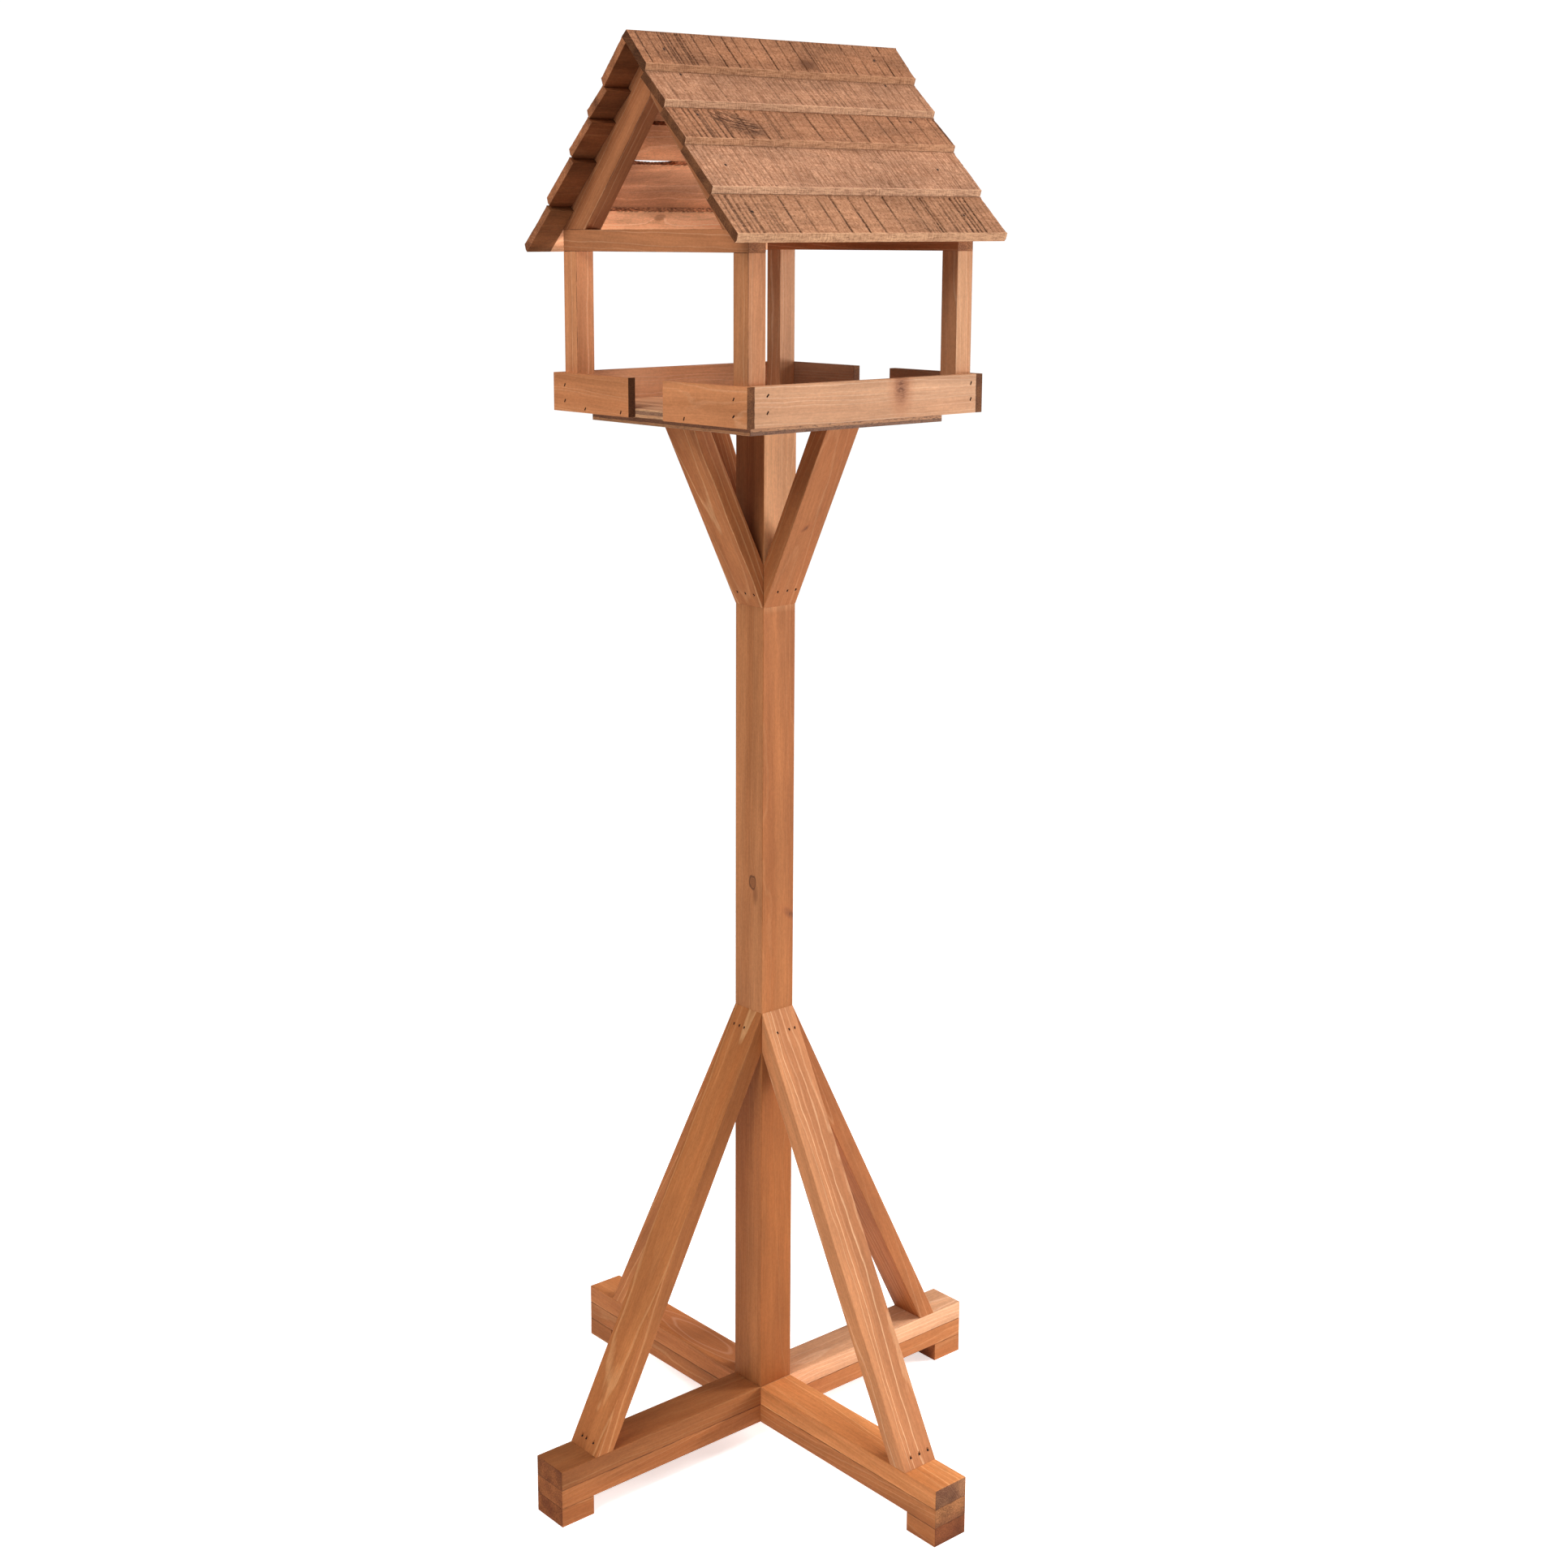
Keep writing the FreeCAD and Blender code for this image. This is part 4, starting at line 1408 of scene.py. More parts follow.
# Timbers whose figure is plain to see: how each was cut, with its knots, bruises and staining, and the light
# and shade painted on single sides of some
CUTS: dict[str, dict[str, object]] = {
    "post": {"pith": (26 * MM, 92 * MM), "drift": (0.004, 0.006), "start": 1.3,
             "ring": 3.4 * MM, "figure": 0.3,
             "knot": (47 * MM, 0.0, -6.3 * MM), "knot_sideways": True,
             "mark": Mark((6 * MM, 20 * MM, -22 * MM), 30 * MM, 10 * MM, 2.2),
             # Painted shade on the post's front-left face, darkest between the upper braces, and low on its
             # right face; painted light on its right face between the upper braces
             "shades": (Shade(1, -1, (0.86, 0.86, 0.78)),
                        Shade(1, -1, (0.95, 1.02, 1.1), -100 * MM),
                        Shade(1, -1, (0.7, 0.72, 0.72), 360 * MM),
                        Shade(2, -1, (0.70, 0.62, 0.46)),
                        Shade(2, -1, (0.83, 0.79, 0.70), -100 * MM),
                        Shade(2, -1, (1.45, 1.95, 2.5), 360 * MM))},
    "brace_lower_right": {"pith": (-22 * MM, 30 * MM), "drift": (0.01, 0.012), "ring": 3.9 * MM,
                          "figure": 1.1},
    # The front brace's right side carries the right brace's painted shadow, the back brace's right side
    # painted shade
    "brace_lower_front": {"pith": (-2 * MM, 24 * MM), "drift": (0.02, 0.05), "ring": 8 * MM, "figure": 1.3,
                          "shades": (Shade(1, 1, (0.76, 0.72, 0.62)),)},
    "brace_lower_back": {"pith": (30 * MM, 20 * MM), "figure": 0.9,
                         "shades": (Shade(1, -1, (0.8, 0.76, 0.7)),)},
    "brace_upper_right": {"pith": (9 * MM, 30 * MM), "drift": (0.02, 0.03),
                          "mark": Mark((-10.7 * MM, -2.5 * MM, 0.0), 13 * MM, 7 * MM, 0.9), "figure": 0.5},
    "brace_upper_front": {"pith": (3 * MM, 20 * MM), "drift": (0.03, -0.07), "ring": 6 * MM, "figure": 1.2},
    "tray_side_right": {"mark": Mark((43.5 * MM, 11 * MM, 4.5 * MM), 21 * MM, 36 * MM), "figure": 0.5},
    "tray_end_front_right": {"figure": 0.5, "pith": (14 * MM, 70 * MM)},
    # Painted light on the right faces of the two right corner posts
    "corner_post_back_right": {"shades": (Shade(2, -1, (1.3, 1.72, 2.3)),)},
    "corner_post_front_right": {"shades": (Shade(2, -1, (1.12, 1.3, 1.6)),)},
    "roof_board_right_1": {"knot": (34 * MM, 10 * MM, 0.0)},
    "roof_board_right_3": {"mark": Mark((-104 * MM, -3 * MM, 0.0), 38 * MM, 17 * MM, 0.42, True)},
    "roof_board_left_5": {"knot": (-34 * MM, -20 * MM, 0.0), "bark": 0.0},
    "base_upper_half_left": {"mark": Mark((-49.7 * MM, -2.2 * MM, 10.7 * MM), 80 * MM, 19 * MM, 0.0, True),
                             "figure": 0.3},
    # Its far (back) arm is painted much paler: a paler board, and painted light on that arm as well
    "base_upper_long": {"pith": (8 * MM, 24 * MM), "drift": (0.02, 0.02), "far_tint": (1.32, 1.85, 2.75)},
}
# How strongly the year rings show, where not fully
FIGURES: dict[str, float] = {
    "tray": 0.5,
    "base": 0.55,
    "foot": 0.5,
    "corner_post": 0.6,
    "tie_beam": 0.7,
    "rafter": 0.7,
}


def finished(node: str, grain: Grain) -> Grain:
    """Complete a piece's grain with its tints for staining and painted light and shade, the strength of its
    figure and what is plain to see on it.

    Args:
        node: the piece's node.
        grain: how it was cut.

    Returns:
        The grain with all of these.
    """
    figure = next((value for name, value in FIGURES.items() if node.startswith(name)), 1.0)
    grain = replace(grain, tint=stain_of(node, STAIN_AND_LIGHT_TINTS), end_tint=stain_of(node, END_STAINS), figure=figure)
    return replace(grain, **CUTS.get(node, {}))


@dataclass
class Joiner:
    """Turns plain shells into planed timbers: eased arrises, brad slots, grain and finish."""

    finishes: Finishes
    brads: BradKit
    arris: float = 0.7 * MM
    least_angle: float = 0.3
    end_facing: float = 0.62
    flat_facing: float = 0.985
    seam_reach: float = 1.1 * MM
    house_height: float = 1.1

    def timber(self, node: str, shell: bmesh.types.BMesh, grain: Grain, arris: float | None = None) -> None:
        """Make one planed timber in place of its node.

        Args:
            node: the node it stands for.
            shell: its plain shape.
            grain: how it was cut from the log.
            arris: how far the arrises are eased, if not the usual.
        """
        sharp = [edge for edge in shell.edges
                 if len(edge.link_faces) == 2 and edge.calc_face_angle(0.0) > self.least_angle]
        bmesh.ops.bevel(shell, geom=sharp, offset=arris or self.arris, segments=2, profile=0.6,
                        affect="EDGES", clamp_overlap=True)
        piece = linked(node + "_dressed", shell)
        self.open_slots(piece, node)
        finished(node, grain).stamp(piece.data)
        self.paint(piece.data, grain.along)
        self.darken_seams(piece.data)
        settle(piece, [node])

    def darken_seams(self, mesh: bpy.types.Mesh) -> None:
        """Name the eased arrises that lie in the base's level seams and in the tray's corner joints, where
        shade is painted.

        Args:
            mesh: a timber's mesh.
        """
        low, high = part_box("base_lower_long")
        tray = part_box("tray_side_right")
        joints = ((2, low.z), (2, high.z), (0, tray[0].x), (0, tray[1].x))
        layer = mesh.attributes.new("seam", "FLOAT", "FACE")
        for polygon in mesh.polygons:
            in_tray = polygon.center.z > self.house_height
            gaps = [abs(polygon.center[axis] - place) for axis, place in joints if (axis == 0) == in_tray]
            slanted = max(abs(value) for value in polygon.normal) < self.flat_facing
            layer.data[polygon.index].value = 1.0 if slanted and min(gaps) < self.seam_reach else 0.0

    def open_slots(self, piece: bpy.types.Object, node: str) -> None:
        """Cut the brads' head slots into a piece.

        Args:
            piece: the piece.
            node: the node it stands for.
        """
        low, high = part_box(node)
        slots = self.brads.slots_for(low, high)
        if not slots:
            return
        tool = self.brads.cutter(slots)
        cut = piece.modifiers.new("slots", "BOOLEAN")
        cut.operation = "DIFFERENCE"
        cut.solver = "EXACT"
        cut.object = tool
        baked(piece)
        mesh = tool.data
        bpy.data.objects.remove(tool)
        bpy.data.meshes.remove(mesh)

    def paint(self, mesh: bpy.types.Mesh, along: Vector) -> None:
        """Give a mesh its face and end-grain finishes by the way each face looks.

        Args:
            mesh: a timber's mesh.
            along: the way of its fibres.
        """
        mesh.materials.clear()
        mesh.materials.append(self.finishes.planed)
        mesh.materials.append(self.finishes.end_grain)
        run = along.normalized()
        for polygon in mesh.polygons:
            polygon.material_index = 1 if abs(polygon.normal.dot(run)) > self.end_facing else 0
            polygon.use_smooth = False


@dataclass
class Base:
    """The crossed base: two layers of bars on four feet."""

    joiner: Joiner
    arris: float = 0.6 * MM
    post_half: float = 22.5 * MM
    sawing: Sawing = Sawing((-30, 30), (14, 45), (0.03, 0.05))
    seed: int = 21

    def build(self) -> None:
        """Make every bar and foot."""
        chance = random.Random(self.seed)
        for node in sorted(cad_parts):
            if not node.startswith(("base_", "foot_")):
                continue
            low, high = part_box(node)
            size = high - low
            along, across = Vector((1, 0, 0)), Vector((0, 1, 0))
            if node in ("foot_left", "foot_right") or (node.startswith("base") and size.y > size.x):
                along, across = across, Vector((-1, 0, 0))
            grain = self.sawing.draw(chance, (low + high) / 2, along, across)
            shell = block_shell(low, high)
            # The long upper bar is cut at the post's sides, so that its much paler far arm, partly painted
            # light, starts inside the post
            if node == "base_upper_long":
                for facing in (-1, 1):
                    bisect(shell, Vector((facing * self.post_half, 0, 0)), Vector((facing, 0, 0)))
            self.joiner.timber(node, shell, grain, self.arris)


@dataclass
class Stand:
    """The post and its eight braces."""

    joiner: Joiner
    brace_thickness: float = 20.5 * MM
    # Heights from the post's foot where its shell is cut, so that the painted light and shade on its sides
    # can change there
    post_bands: tuple[float, ...] = (440 * MM, 450 * MM, 890 * MM, 915 * MM)
    sawing: Sawing = Sawing((-16, 16), (12, 34), (0.05, 0.08), ring=6 * MM)
    seed: int = 5

    def build(self) -> None:
        """Make the post and the braces."""
        low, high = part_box("post")
        grain = Grain((low + high) / 2, Vector((0, 0, 1)), Vector((1, 0, 0)))
        shell = block_shell(low, high)
        for rise in self.post_bands:
            bisect(shell, Vector((0, 0, low.z + rise)), Vector((0, 0, 1)))
        self.joiner.timber("post", shell, grain)
        chance = random.Random(self.seed)
        for kind in ("lower", "upper"):
            for name, turn in (("back", 0), ("left", 1), ("front", 2), ("right", 3)):
                self.brace(kind, name, turn, chance)

    def brace(self, kind: str, name: str, turn: int, chance: random.Random) -> None:
        """Make one brace.

        Args:
            kind: lower or upper.
            name: the way it points.
            turn: quarter turns from the one that points along +X.
            chance: the source of small differences.
        """
        low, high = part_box(f"brace_{kind}_back")
        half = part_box("post")[1].x
        wall, seat = (high.z, low.z) if kind == "lower" else (low.z, high.z)
        run, rise = high.x - half, wall - seat
        length = math.hypot(run, rise)
        level = self.brace_thickness * length / abs(rise)
        plumb = math.copysign(self.brace_thickness * length / run, rise)
        outline = [(half, wall), (half, wall - plumb), (high.x - level, seat), (high.x, seat)]
        spin = Matrix.Rotation(turn * math.pi / 2, 4, "Z")
        corners = [spin @ Vector((x, -half, z)) for x, z in outline]
        shell = prism_shell(corners, spin @ Vector((0, 2 * half, 0)))
        along = spin @ Vector((run, 0, -rise))
        across = spin @ Vector((0, 1, 0))
        middle = spin @ Vector(((half + high.x) / 2, 0, (wall + seat) / 2))
        self.joiner.timber(f"brace_{kind}_{name}", shell, self.sawing.draw(chance, middle, along, across))


@dataclass
class Tray:
    """The two plywood plates and the boards round the floor."""

    joiner: Joiner
    side_arris: float = 0.7 * MM
    end_arris: float = 0.45 * MM
    plate_arris: float = 0.3 * MM
    upright_facing: float = 0.8
    plate_ring: float = 7.5 * MM
    sawing: Sawing = Sawing((60, 110), (-30, 30), (0.03, 0.02), both_sides=False, ring=3.2 * MM)
    seed: int = 11

    def build(self) -> None:
        """Make the plates and the boards."""
        chance = random.Random(self.seed)
        for node in ("support_ply", "floor_ply"):
            self.plate(node)
        for node in sorted(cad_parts):
            if not node.startswith("tray"):
                continue
            low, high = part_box(node)
            size = high - low
            along = Vector((0, 1, 0)) if size.y > size.x else Vector((1, 0, 0))
            grain = self.sawing.draw(chance, (low + high) / 2, along, Vector((0, 0, 1)))
            arris = self.side_arris if "side" in node else self.end_arris
            self.joiner.timber(node, block_shell(low, high), grain, arris)

    def plate(self, node: str) -> None:
        """Make one plywood plate with its layered edges.

        Args:
            node: the node it stands for.
        """
        finishes = self.joiner.finishes
        low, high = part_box(node)
        shell = block_shell(low, high)
        bmesh.ops.bevel(shell, geom=shell.edges[:], offset=self.plate_arris, segments=1, affect="EDGES")
        piece = linked(node + "_dressed", shell)
        self.joiner.open_slots(piece, node)
        origin = Vector((0.0, 0.0, low.z))
        grain = Grain(origin, Vector((0, 1, 0)), Vector((-1, 0, 0)), (0.0, 0.0), ring=self.plate_ring)
        finished(node, grain).stamp(piece.data)
        mesh = piece.data
        for material in (finishes.ply_face, finishes.ply_along, finishes.ply_across):
            mesh.materials.append(material)
        for polygon in mesh.polygons:
            facing = [abs(value) for value in polygon.normal]
            edge = 1 if facing[0] > facing[1] else 2
            polygon.material_index = 0 if facing[2] > self.upright_facing else edge
        settle(piece, [node])


@dataclass
class RoofFrame:
    """Corner posts and tie beams."""

    joiner: Joiner
    arris: float = 0.4 * MM
    sawing: Sawing = Sawing((-50, 50), (25, 60), (0.03, 0.04), both_sides=False)
    seed: int = 31

    def build(self) -> None:
        """Make the four posts and the two beams."""
        chance = random.Random(self.seed)
        for node in sorted(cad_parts):
            if not node.startswith(("corner_post", "tie_beam")):
                continue
            low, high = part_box(node)
            along = Vector((0, 1, 0)) if node.startswith("tie") else Vector((0, 0, 1))
            grain = self.sawing.draw(chance, (low + high) / 2, along, Vector((1, 0, 0)))
            self.joiner.timber(node, block_shell(low, high), grain, self.arris)


@dataclass
class Roof:
    """Stepped rafters and the boards nailed on their steps."""

    joiner: Joiner
    pitch: float = math.radians(49.5)
    rafter_depth: float = 27.0 * MM
    board_thickness: float = 9.0 * MM
    step: float = 6.0 * MM
    first_step: float = 4.5 * MM
    bevel: float = 3.5 * MM
    gap: float = 0.4 * MM
    apex_gap: float = 0.2 * MM
    corrections: int = 12
    corner_clearance: float = 0.5 * MM
    rafter_arris: float = 0.4 * MM
    rafter_sawing: Sawing = Sawing((-30, 30), (20, 45), (0.05, 0.05))
    board_sawing: Sawing = Sawing((-60, 60), (18, 50), (0.1, 0.05), ring=5 * MM)
    trim_mm: Point2 = (0, 0.9)
    station: float = 0.9 * MM
    fineness: float = 2.4 * MM
    kerf_depth: float = 0.9 * MM
    fuzz_depth: float = 0.9 * MM
    saw_slant: Point2 = (-0.04, 0.12)
    noise_places: Point2 = (0, 9)
    seed: int = 43
    widths: dict[Side, tuple[float, ...]] = field(default_factory=lambda: {
        Side.RIGHT: (34.5 * MM, 46.0 * MM, 47.0 * MM, 60.5 * MM, 57.0 * MM),
        Side.LEFT: (48.0 * MM, 38.5 * MM, 50.0 * MM, 62.0 * MM, 60.0 * MM)})
    scoring: dict[Side, tuple[float, ...]] = field(default_factory=lambda: {
        Side.RIGHT: (1.0, 0.5, 1.0, 0.4, 1.0),
        Side.LEFT: (0.7, 0.9, 0.5, 0.8, 0.6)})
    spacing: dict[Side, tuple[float, ...]] = field(default_factory=lambda: {
        Side.RIGHT: (0.85, 1.0, 1.1, 1.0, 1.15),
        Side.LEFT: (1.0, 0.9, 1.1, 1.0, 0.9)})
    gap_board: tuple[Side, int] = (Side.LEFT, 3)
    gap_place: Point2 = (-75 * MM, 27 * MM)
    gap_width: float = 0.2 * MM
    wane_reach: float = 6.4 * MM
    chipped: tuple[tuple[Side, int], ...] = ((Side.LEFT, 2), (Side.LEFT, 3))
    chip_size: float = 5.0 * MM

    def edges(self, side: Side) -> list[float]:
        """List how far down the slope each board's lower edge lies.

        Args:
            side: the slope.

        Returns:
            Distances from the ridge, the ridge first.
        """
        edges = [0.0]
        for width in self.widths[side]:
            edges.append(edges[-1] + width)
        return edges

    def slope(self, side: Side) -> Vector:
        """The unit vector that points down a slope."""
        return Vector((0, side.value * math.cos(self.pitch), -math.sin(self.pitch)))

    def ridge(self) -> float:
        """Find how high the seat line's ridge lies, so that both last boards clear the tie beams.

        Returns:
            The height.
        """
        _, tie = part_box("tie_beam_front")
        best = 0.0
        for side in Side:
            edges = self.edges(side)
            tilt = self.step / (edges[-1] - edges[-2])
            reach = tie.y * math.sin(self.pitch) - tilt * (tie.y * math.cos(self.pitch) - edges[-2])
            rise = (reach + self.corner_clearance) / (math.cos(self.pitch) + tilt * math.sin(self.pitch))
            best = max(best, rise)
        return tie.z + best

    def at(self, side: Side, down: float, out: float, x: float = 0.0) -> Vector:
        """The point so far down a slope and so far out from its seat line."""
        y = side.value * (down * math.cos(self.pitch) + out * math.sin(self.pitch))
        return Vector((x, y, self.ridge() - down * math.sin(self.pitch) + out * math.cos(self.pitch)))

    def seat(self, side: Side, board: int, down: float) -> float:
        """How far a board's seat stands out from the seat line."""
        edges = self.edges(side)
        top = self.first_step if board == 0 else 0.0
        return top + (down - edges[board]) / (edges[board + 1] - edges[board]) * (self.step - top)

    def build(self) -> None:
        """Make the rafters, then the boards."""
        chance = random.Random(self.seed)
        for end in End:
            for side in Side:
                self.rafter(end, side, chance)
        tree = self.saw_tree()
        for side in Side:
            for board in range(len(self.widths[side])):
                self.board(side, board, tree, chance)

    def rafter(self, end: End, side: Side, chance: random.Random) -> None:
        """Make one rafter.

        Args:
            end: its gable.
            side: its slope.
            chance: the source of small differences.
        """
        node = f"rafter_{end.word}_{side.word}"
        low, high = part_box(node)
        edges = self.edges(side)
        above, below = -2 * self.rafter_depth, edges[-1] + 2 * self.rafter_depth
        line = [(above, -self.rafter_depth), (above, self.seat(side, 0, above))]
        for board in range(len(edges) - 2):
            line += [(edges[board + 1], self.step), (edges[board + 1], 0.0)]
        line += [(below, self.seat(side, len(edges) - 2, below)), (below, -self.rafter_depth)]
        flat = [(point.y * side.value, point.z) for point in (self.at(side, down, out) for down, out in line)]
        flat = self.clipped(flat, (-1.0, 0.0), -self.apex_gap / 2)
        _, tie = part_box("tie_beam_front")
        flat = self.clipped(flat, (0.0, -1.0), -tie.z)
        corners = [Vector((low.x, y * side.value, z)) for y, z in flat]
        shell = prism_shell(corners, Vector((high.x - low.x, 0, 0)))
        grain = self.rafter_sawing.draw(chance, (low + high) / 2, self.slope(side), Vector((1, 0, 0)))
        self.joiner.timber(node, shell, grain, self.rafter_arris)

    @staticmethod
    def clipped(points: list[Point2], normal: Point2, limit: float) -> list[Point2]:
        """Keep the part of an outline on one side of a line.

        Args:
            points: the outline.
            normal: the line's normal.
            limit: the largest distance along the normal that stays.

        Returns:
            The clipped outline.
        """
        kept: list[Point2] = []
        for index, point in enumerate(points):
            before = points[index - 1]
            here = point[0] * normal[0] + point[1] * normal[1] - limit
            there = before[0] * normal[0] + before[1] * normal[1] - limit
            if (here > 0) != (there > 0):
                share = there / (there - here)
                moves = (share * (point[0] - before[0]), share * (point[1] - before[1]))
                kept.append((before[0] + moves[0], before[1] + moves[1]))
            if here <= 0:
                kept.append(point)
        return kept

    def section(self, side: Side, board: int) -> list[tuple[Vector, Edge]]:
        """The section of a board at x = 0.

        Args:
            side: its slope.
            board: its place from the ridge.

        Returns:
            Corners, each with the face that starts there.
        """
        edges = self.edges(side)
        double = 2 * self.pitch
        start_in = start_out = edges[board] + self.gap
        if board == 0 and side is Side.RIGHT:
            cover = self.first_step + self.board_thickness - self.first_step * math.cos(double)
            start_in = start_out = -cover / math.sin(double)
        if board == 0 and side is Side.LEFT:
            start_in, start_out = self.tucked(0.0), self.tucked(self.board_thickness)
        end = edges[board + 1]
        arris = end - self.bevel
        corners = [
            (start_in, self.seat(side, board, start_in), Edge.TOP),
            (start_out, self.seat(side, board, start_out) + self.board_thickness, Edge.OUTER),
            (arris, self.seat(side, board, arris) + self.board_thickness, Edge.LOWER),
            (end, max(self.board_thickness, self.step + self.gap), Edge.LOWER),
            (end, self.step, Edge.INNER),
        ]
        return [(self.at(side, down, out), edge) for down, out, edge in corners]

    def tucked(self, out: float) -> float:
        """Find where a surface of the left top board meets the board that covers it.

        Args:
            out: how far the surface stands out from the board's seat.

        Returns:
            How far down the slope it starts, found by correcting a first guess.
        """
        down = 0.0
        for _ in range(self.corrections):
            point = self.at(Side.LEFT, down, self.seat(Side.LEFT, 0, down) + out)
            right_out = -point.y * math.sin(self.pitch) + (point.z - self.ridge()) * math.cos(self.pitch)
            right_down = -point.y * math.cos(self.pitch) - (point.z - self.ridge()) * math.sin(self.pitch)
            under = self.seat(Side.RIGHT, 0, right_down) - self.apex_gap
            down += (right_out - under) / math.sin(2 * self.pitch)
        return down

    def board(self, side: Side, board: int, tree: bpy.types.NodeTree, chance: random.Random) -> None:
        """Make one roof board with its sawn relief.

        Args:
            side: its slope.
            board: its place from the ridge.
            tree: the tree that cuts the saw marks.
            chance: the source of small differences.
        """
        node = f"roof_board_{side.word}_{board + 1}"
        low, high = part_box(node)
        ring = self.divided(self.section(side, board))
        trim = [chance.uniform(*self.trim_mm) * MM for _ in range(2)]
        stations = np.linspace(low.x + trim[0], high.x - trim[1], round((high.x - low.x) / self.station) + 1)
        piece = linked(node + "_dressed", self.board_shell(side, board, ring, low.x, stations))
        finishes = self.joiner.finishes
        for material in (finishes.underside, finishes.board_end):
            piece.data.materials.append(material)
        chips = np.random.default_rng(self.seed + 10 * board + side.value)
        self.mark_board(piece.data, [edge for _, edge in ring], len(stations), chips)
        values = {"Kerf depth": self.kerf_depth, "Kerf strength": self.scoring[side][board],
                  "Fuzz depth": self.fuzz_depth, "Slant": chance.uniform(*self.saw_slant),
                  "Seed": chance.uniform(*self.noise_places), "Line spacing": self.spacing[side][board],
                  "Finish": finishes.sawn}
        applied(piece, tree, values)
        self.joiner.open_slots(piece, node)
        grain = self.board_sawing.draw(chance, (low + high) / 2, Vector((1, 0, 0)), self.slope(side))
        finished(node, grain).stamp(piece.data)
        self.stain_under(piece.data, node)
        settle(piece, [node])

    def divided(self, corners: list[tuple[Vector, Edge]]) -> list[tuple[Vector, Edge]]:
        """Divide a board's section into short steps, the narrow faces twice as finely as the broad ones.

        Args:
            corners: the section's corners, each with the face that starts there.

        Returns:
            The same with more corners.
        """
        ring: list[tuple[Vector, Edge]] = []
        for index, (start, edge) in enumerate(corners):
            stop = corners[(index + 1) % len(corners)][0]
            step = self.fineness if edge in (Edge.OUTER, Edge.INNER) else self.fineness / 2
            count = max(1, round((stop - start).length / step))
            ring += [(start.lerp(stop, k / count), edge) for k in range(count)]
        return ring

    def board_shell(self, side: Side, board: int, ring: list[tuple[Vector, Edge]], front: float,
                    stations: np.ndarray) -> bmesh.types.BMesh:
        """Draw a board as a row of sections from end to end.

        Args:
            side: its slope.
            board: its place from the ridge.
            ring: its divided section.
            front: where its front end lies before trimming.
            stations: the places of the sections along the ridge.

        Returns:
            The shell. Its face layer outside marks the faces that get the sawn finish.
        """
        shell = bmesh.new()
        outside = shell.faces.layers.int.new("outside")
        slope = self.slope(side)
        start = max(corner.dot(slope) for corner, _ in self.section(side, board)[:2])
        rows = []
        for x in stations:
            row = []
            for (point, edge), (_, before) in zip(ring, ring[-1:] + ring[:-1]):
                move = self.wane(side, board, (x - front, x), start, point.dot(slope), {edge, before})
                row.append(shell.verts.new((x, *(point + slope * move).yz)))
            rows.append(row)
        for near, far in zip(rows, rows[1:]):
            for index in range(len(ring)):
                after = (index + 1) % len(ring)
                quad = shell.faces.new((near[index], far[index], far[after], near[after]))
                quad[outside] = int(ring[index][1] in (Edge.OUTER, Edge.LOWER))
        for row in (rows[0], rows[-1]):
            shell.faces.new(row).material_index = 1
        bmesh.ops.recalc_face_normals(shell, faces=shell.faces)
        return shell

    @staticmethod
    def mark_board(mesh: bpy.types.Mesh, edges: list[Edge], count: int, chips: np.random.Generator) -> None:
        """Write how rough and how worn a plain board is, and the random darker and lighter flecks on its top
        edge.

        Args:
            mesh: the board's mesh.
            edges: the face that starts at each corner of its section.
            count: how many sections it has.
            chips: the source of the flecks on its top edge.
        """
        rough = {Edge.OUTER: 1.0, Edge.LOWER: 0.5, Edge.TOP: 0.3, Edge.INNER: 0.0}
        pairs = list(zip(edges, edges[-1:] + edges[:-1]))
        sawn = [min(rough[edge], rough[before]) for edge, before in pairs]
        worn = [float(Edge.LOWER in pair) for pair in pairs]
        write(mesh, "sawn", np.tile(sawn, count))
        write(mesh, "worn", np.tile(worn, count))
        noise = chips.uniform(0.0, 1.0, (count + 2, len(edges)))
        shreds = 0.15 + 1.4 * ((noise[:-2] + noise[1:-1] + noise[2:]) / 3) ** 1.6
        topmost = np.array([edge is Edge.TOP for edge in edges])
        write(mesh, "under", np.where(topmost, shreds, 1.0).ravel())

    def wane(self, side: Side, board: int, place: Point2, start: float, down: float,
             edges: set[Edge]) -> float:
        """How far a corner of the section moves down the slope where the board's edge is waney or chipped.

        Args:
            side: the board's slope.
            board: its place from the ridge.
            place: distance from the front end, and place along the ridge.
            start: where the board's top edge lies down the slope.
            down: where the corner lies down the slope.
            edges: the faces that meet at the corner.

        Returns:
            The move, down the slope if positive.
        """
        from_end, x = place
        if (side, board) == self.gap_board:
            middle, half = self.gap_place
            force = max(0.0, 1.0 - abs(x - middle) / half) ** 0.4
            if edges == {Edge.TOP, Edge.INNER}:
                return self.gap_width * force
            force *= 0.86 + 0.14 * math.sin(x * 900) * math.sin(x * 2300)
            if Edge.OUTER in edges and Edge.LOWER not in edges:
                return max(0.0, self.wane_reach * force * (1 - 0.5 * (down - start) / self.wane_reach))
            if Edge.TOP in edges:
                return (self.gap_width + self.wane_reach) / 2 * force
        if (side, board) in self.chipped and Edge.LOWER in edges:
            return -self.chip_size * 0.5 * max(0.0, 1.0 - from_end / self.chip_size)
        return 0.0

    @staticmethod
    def stain_under(mesh: bpy.types.Mesh, node: str) -> None:
        """Paint light and shade on a board's inner face: shade under the gable overhangs, and light between
        the rafters on the boards that light reached through the open side.

        Args:
            mesh: the board's mesh.
            node: the node it stands for.
        """
        low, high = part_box("rafter_front_right")[0].x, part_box("rafter_back_right")[1].x
        x = places_of(mesh)[:, 0]
        lift = np.empty(len(mesh.vertices), np.float32)
        mesh.attributes["under"].data.foreach_get("value", lift)
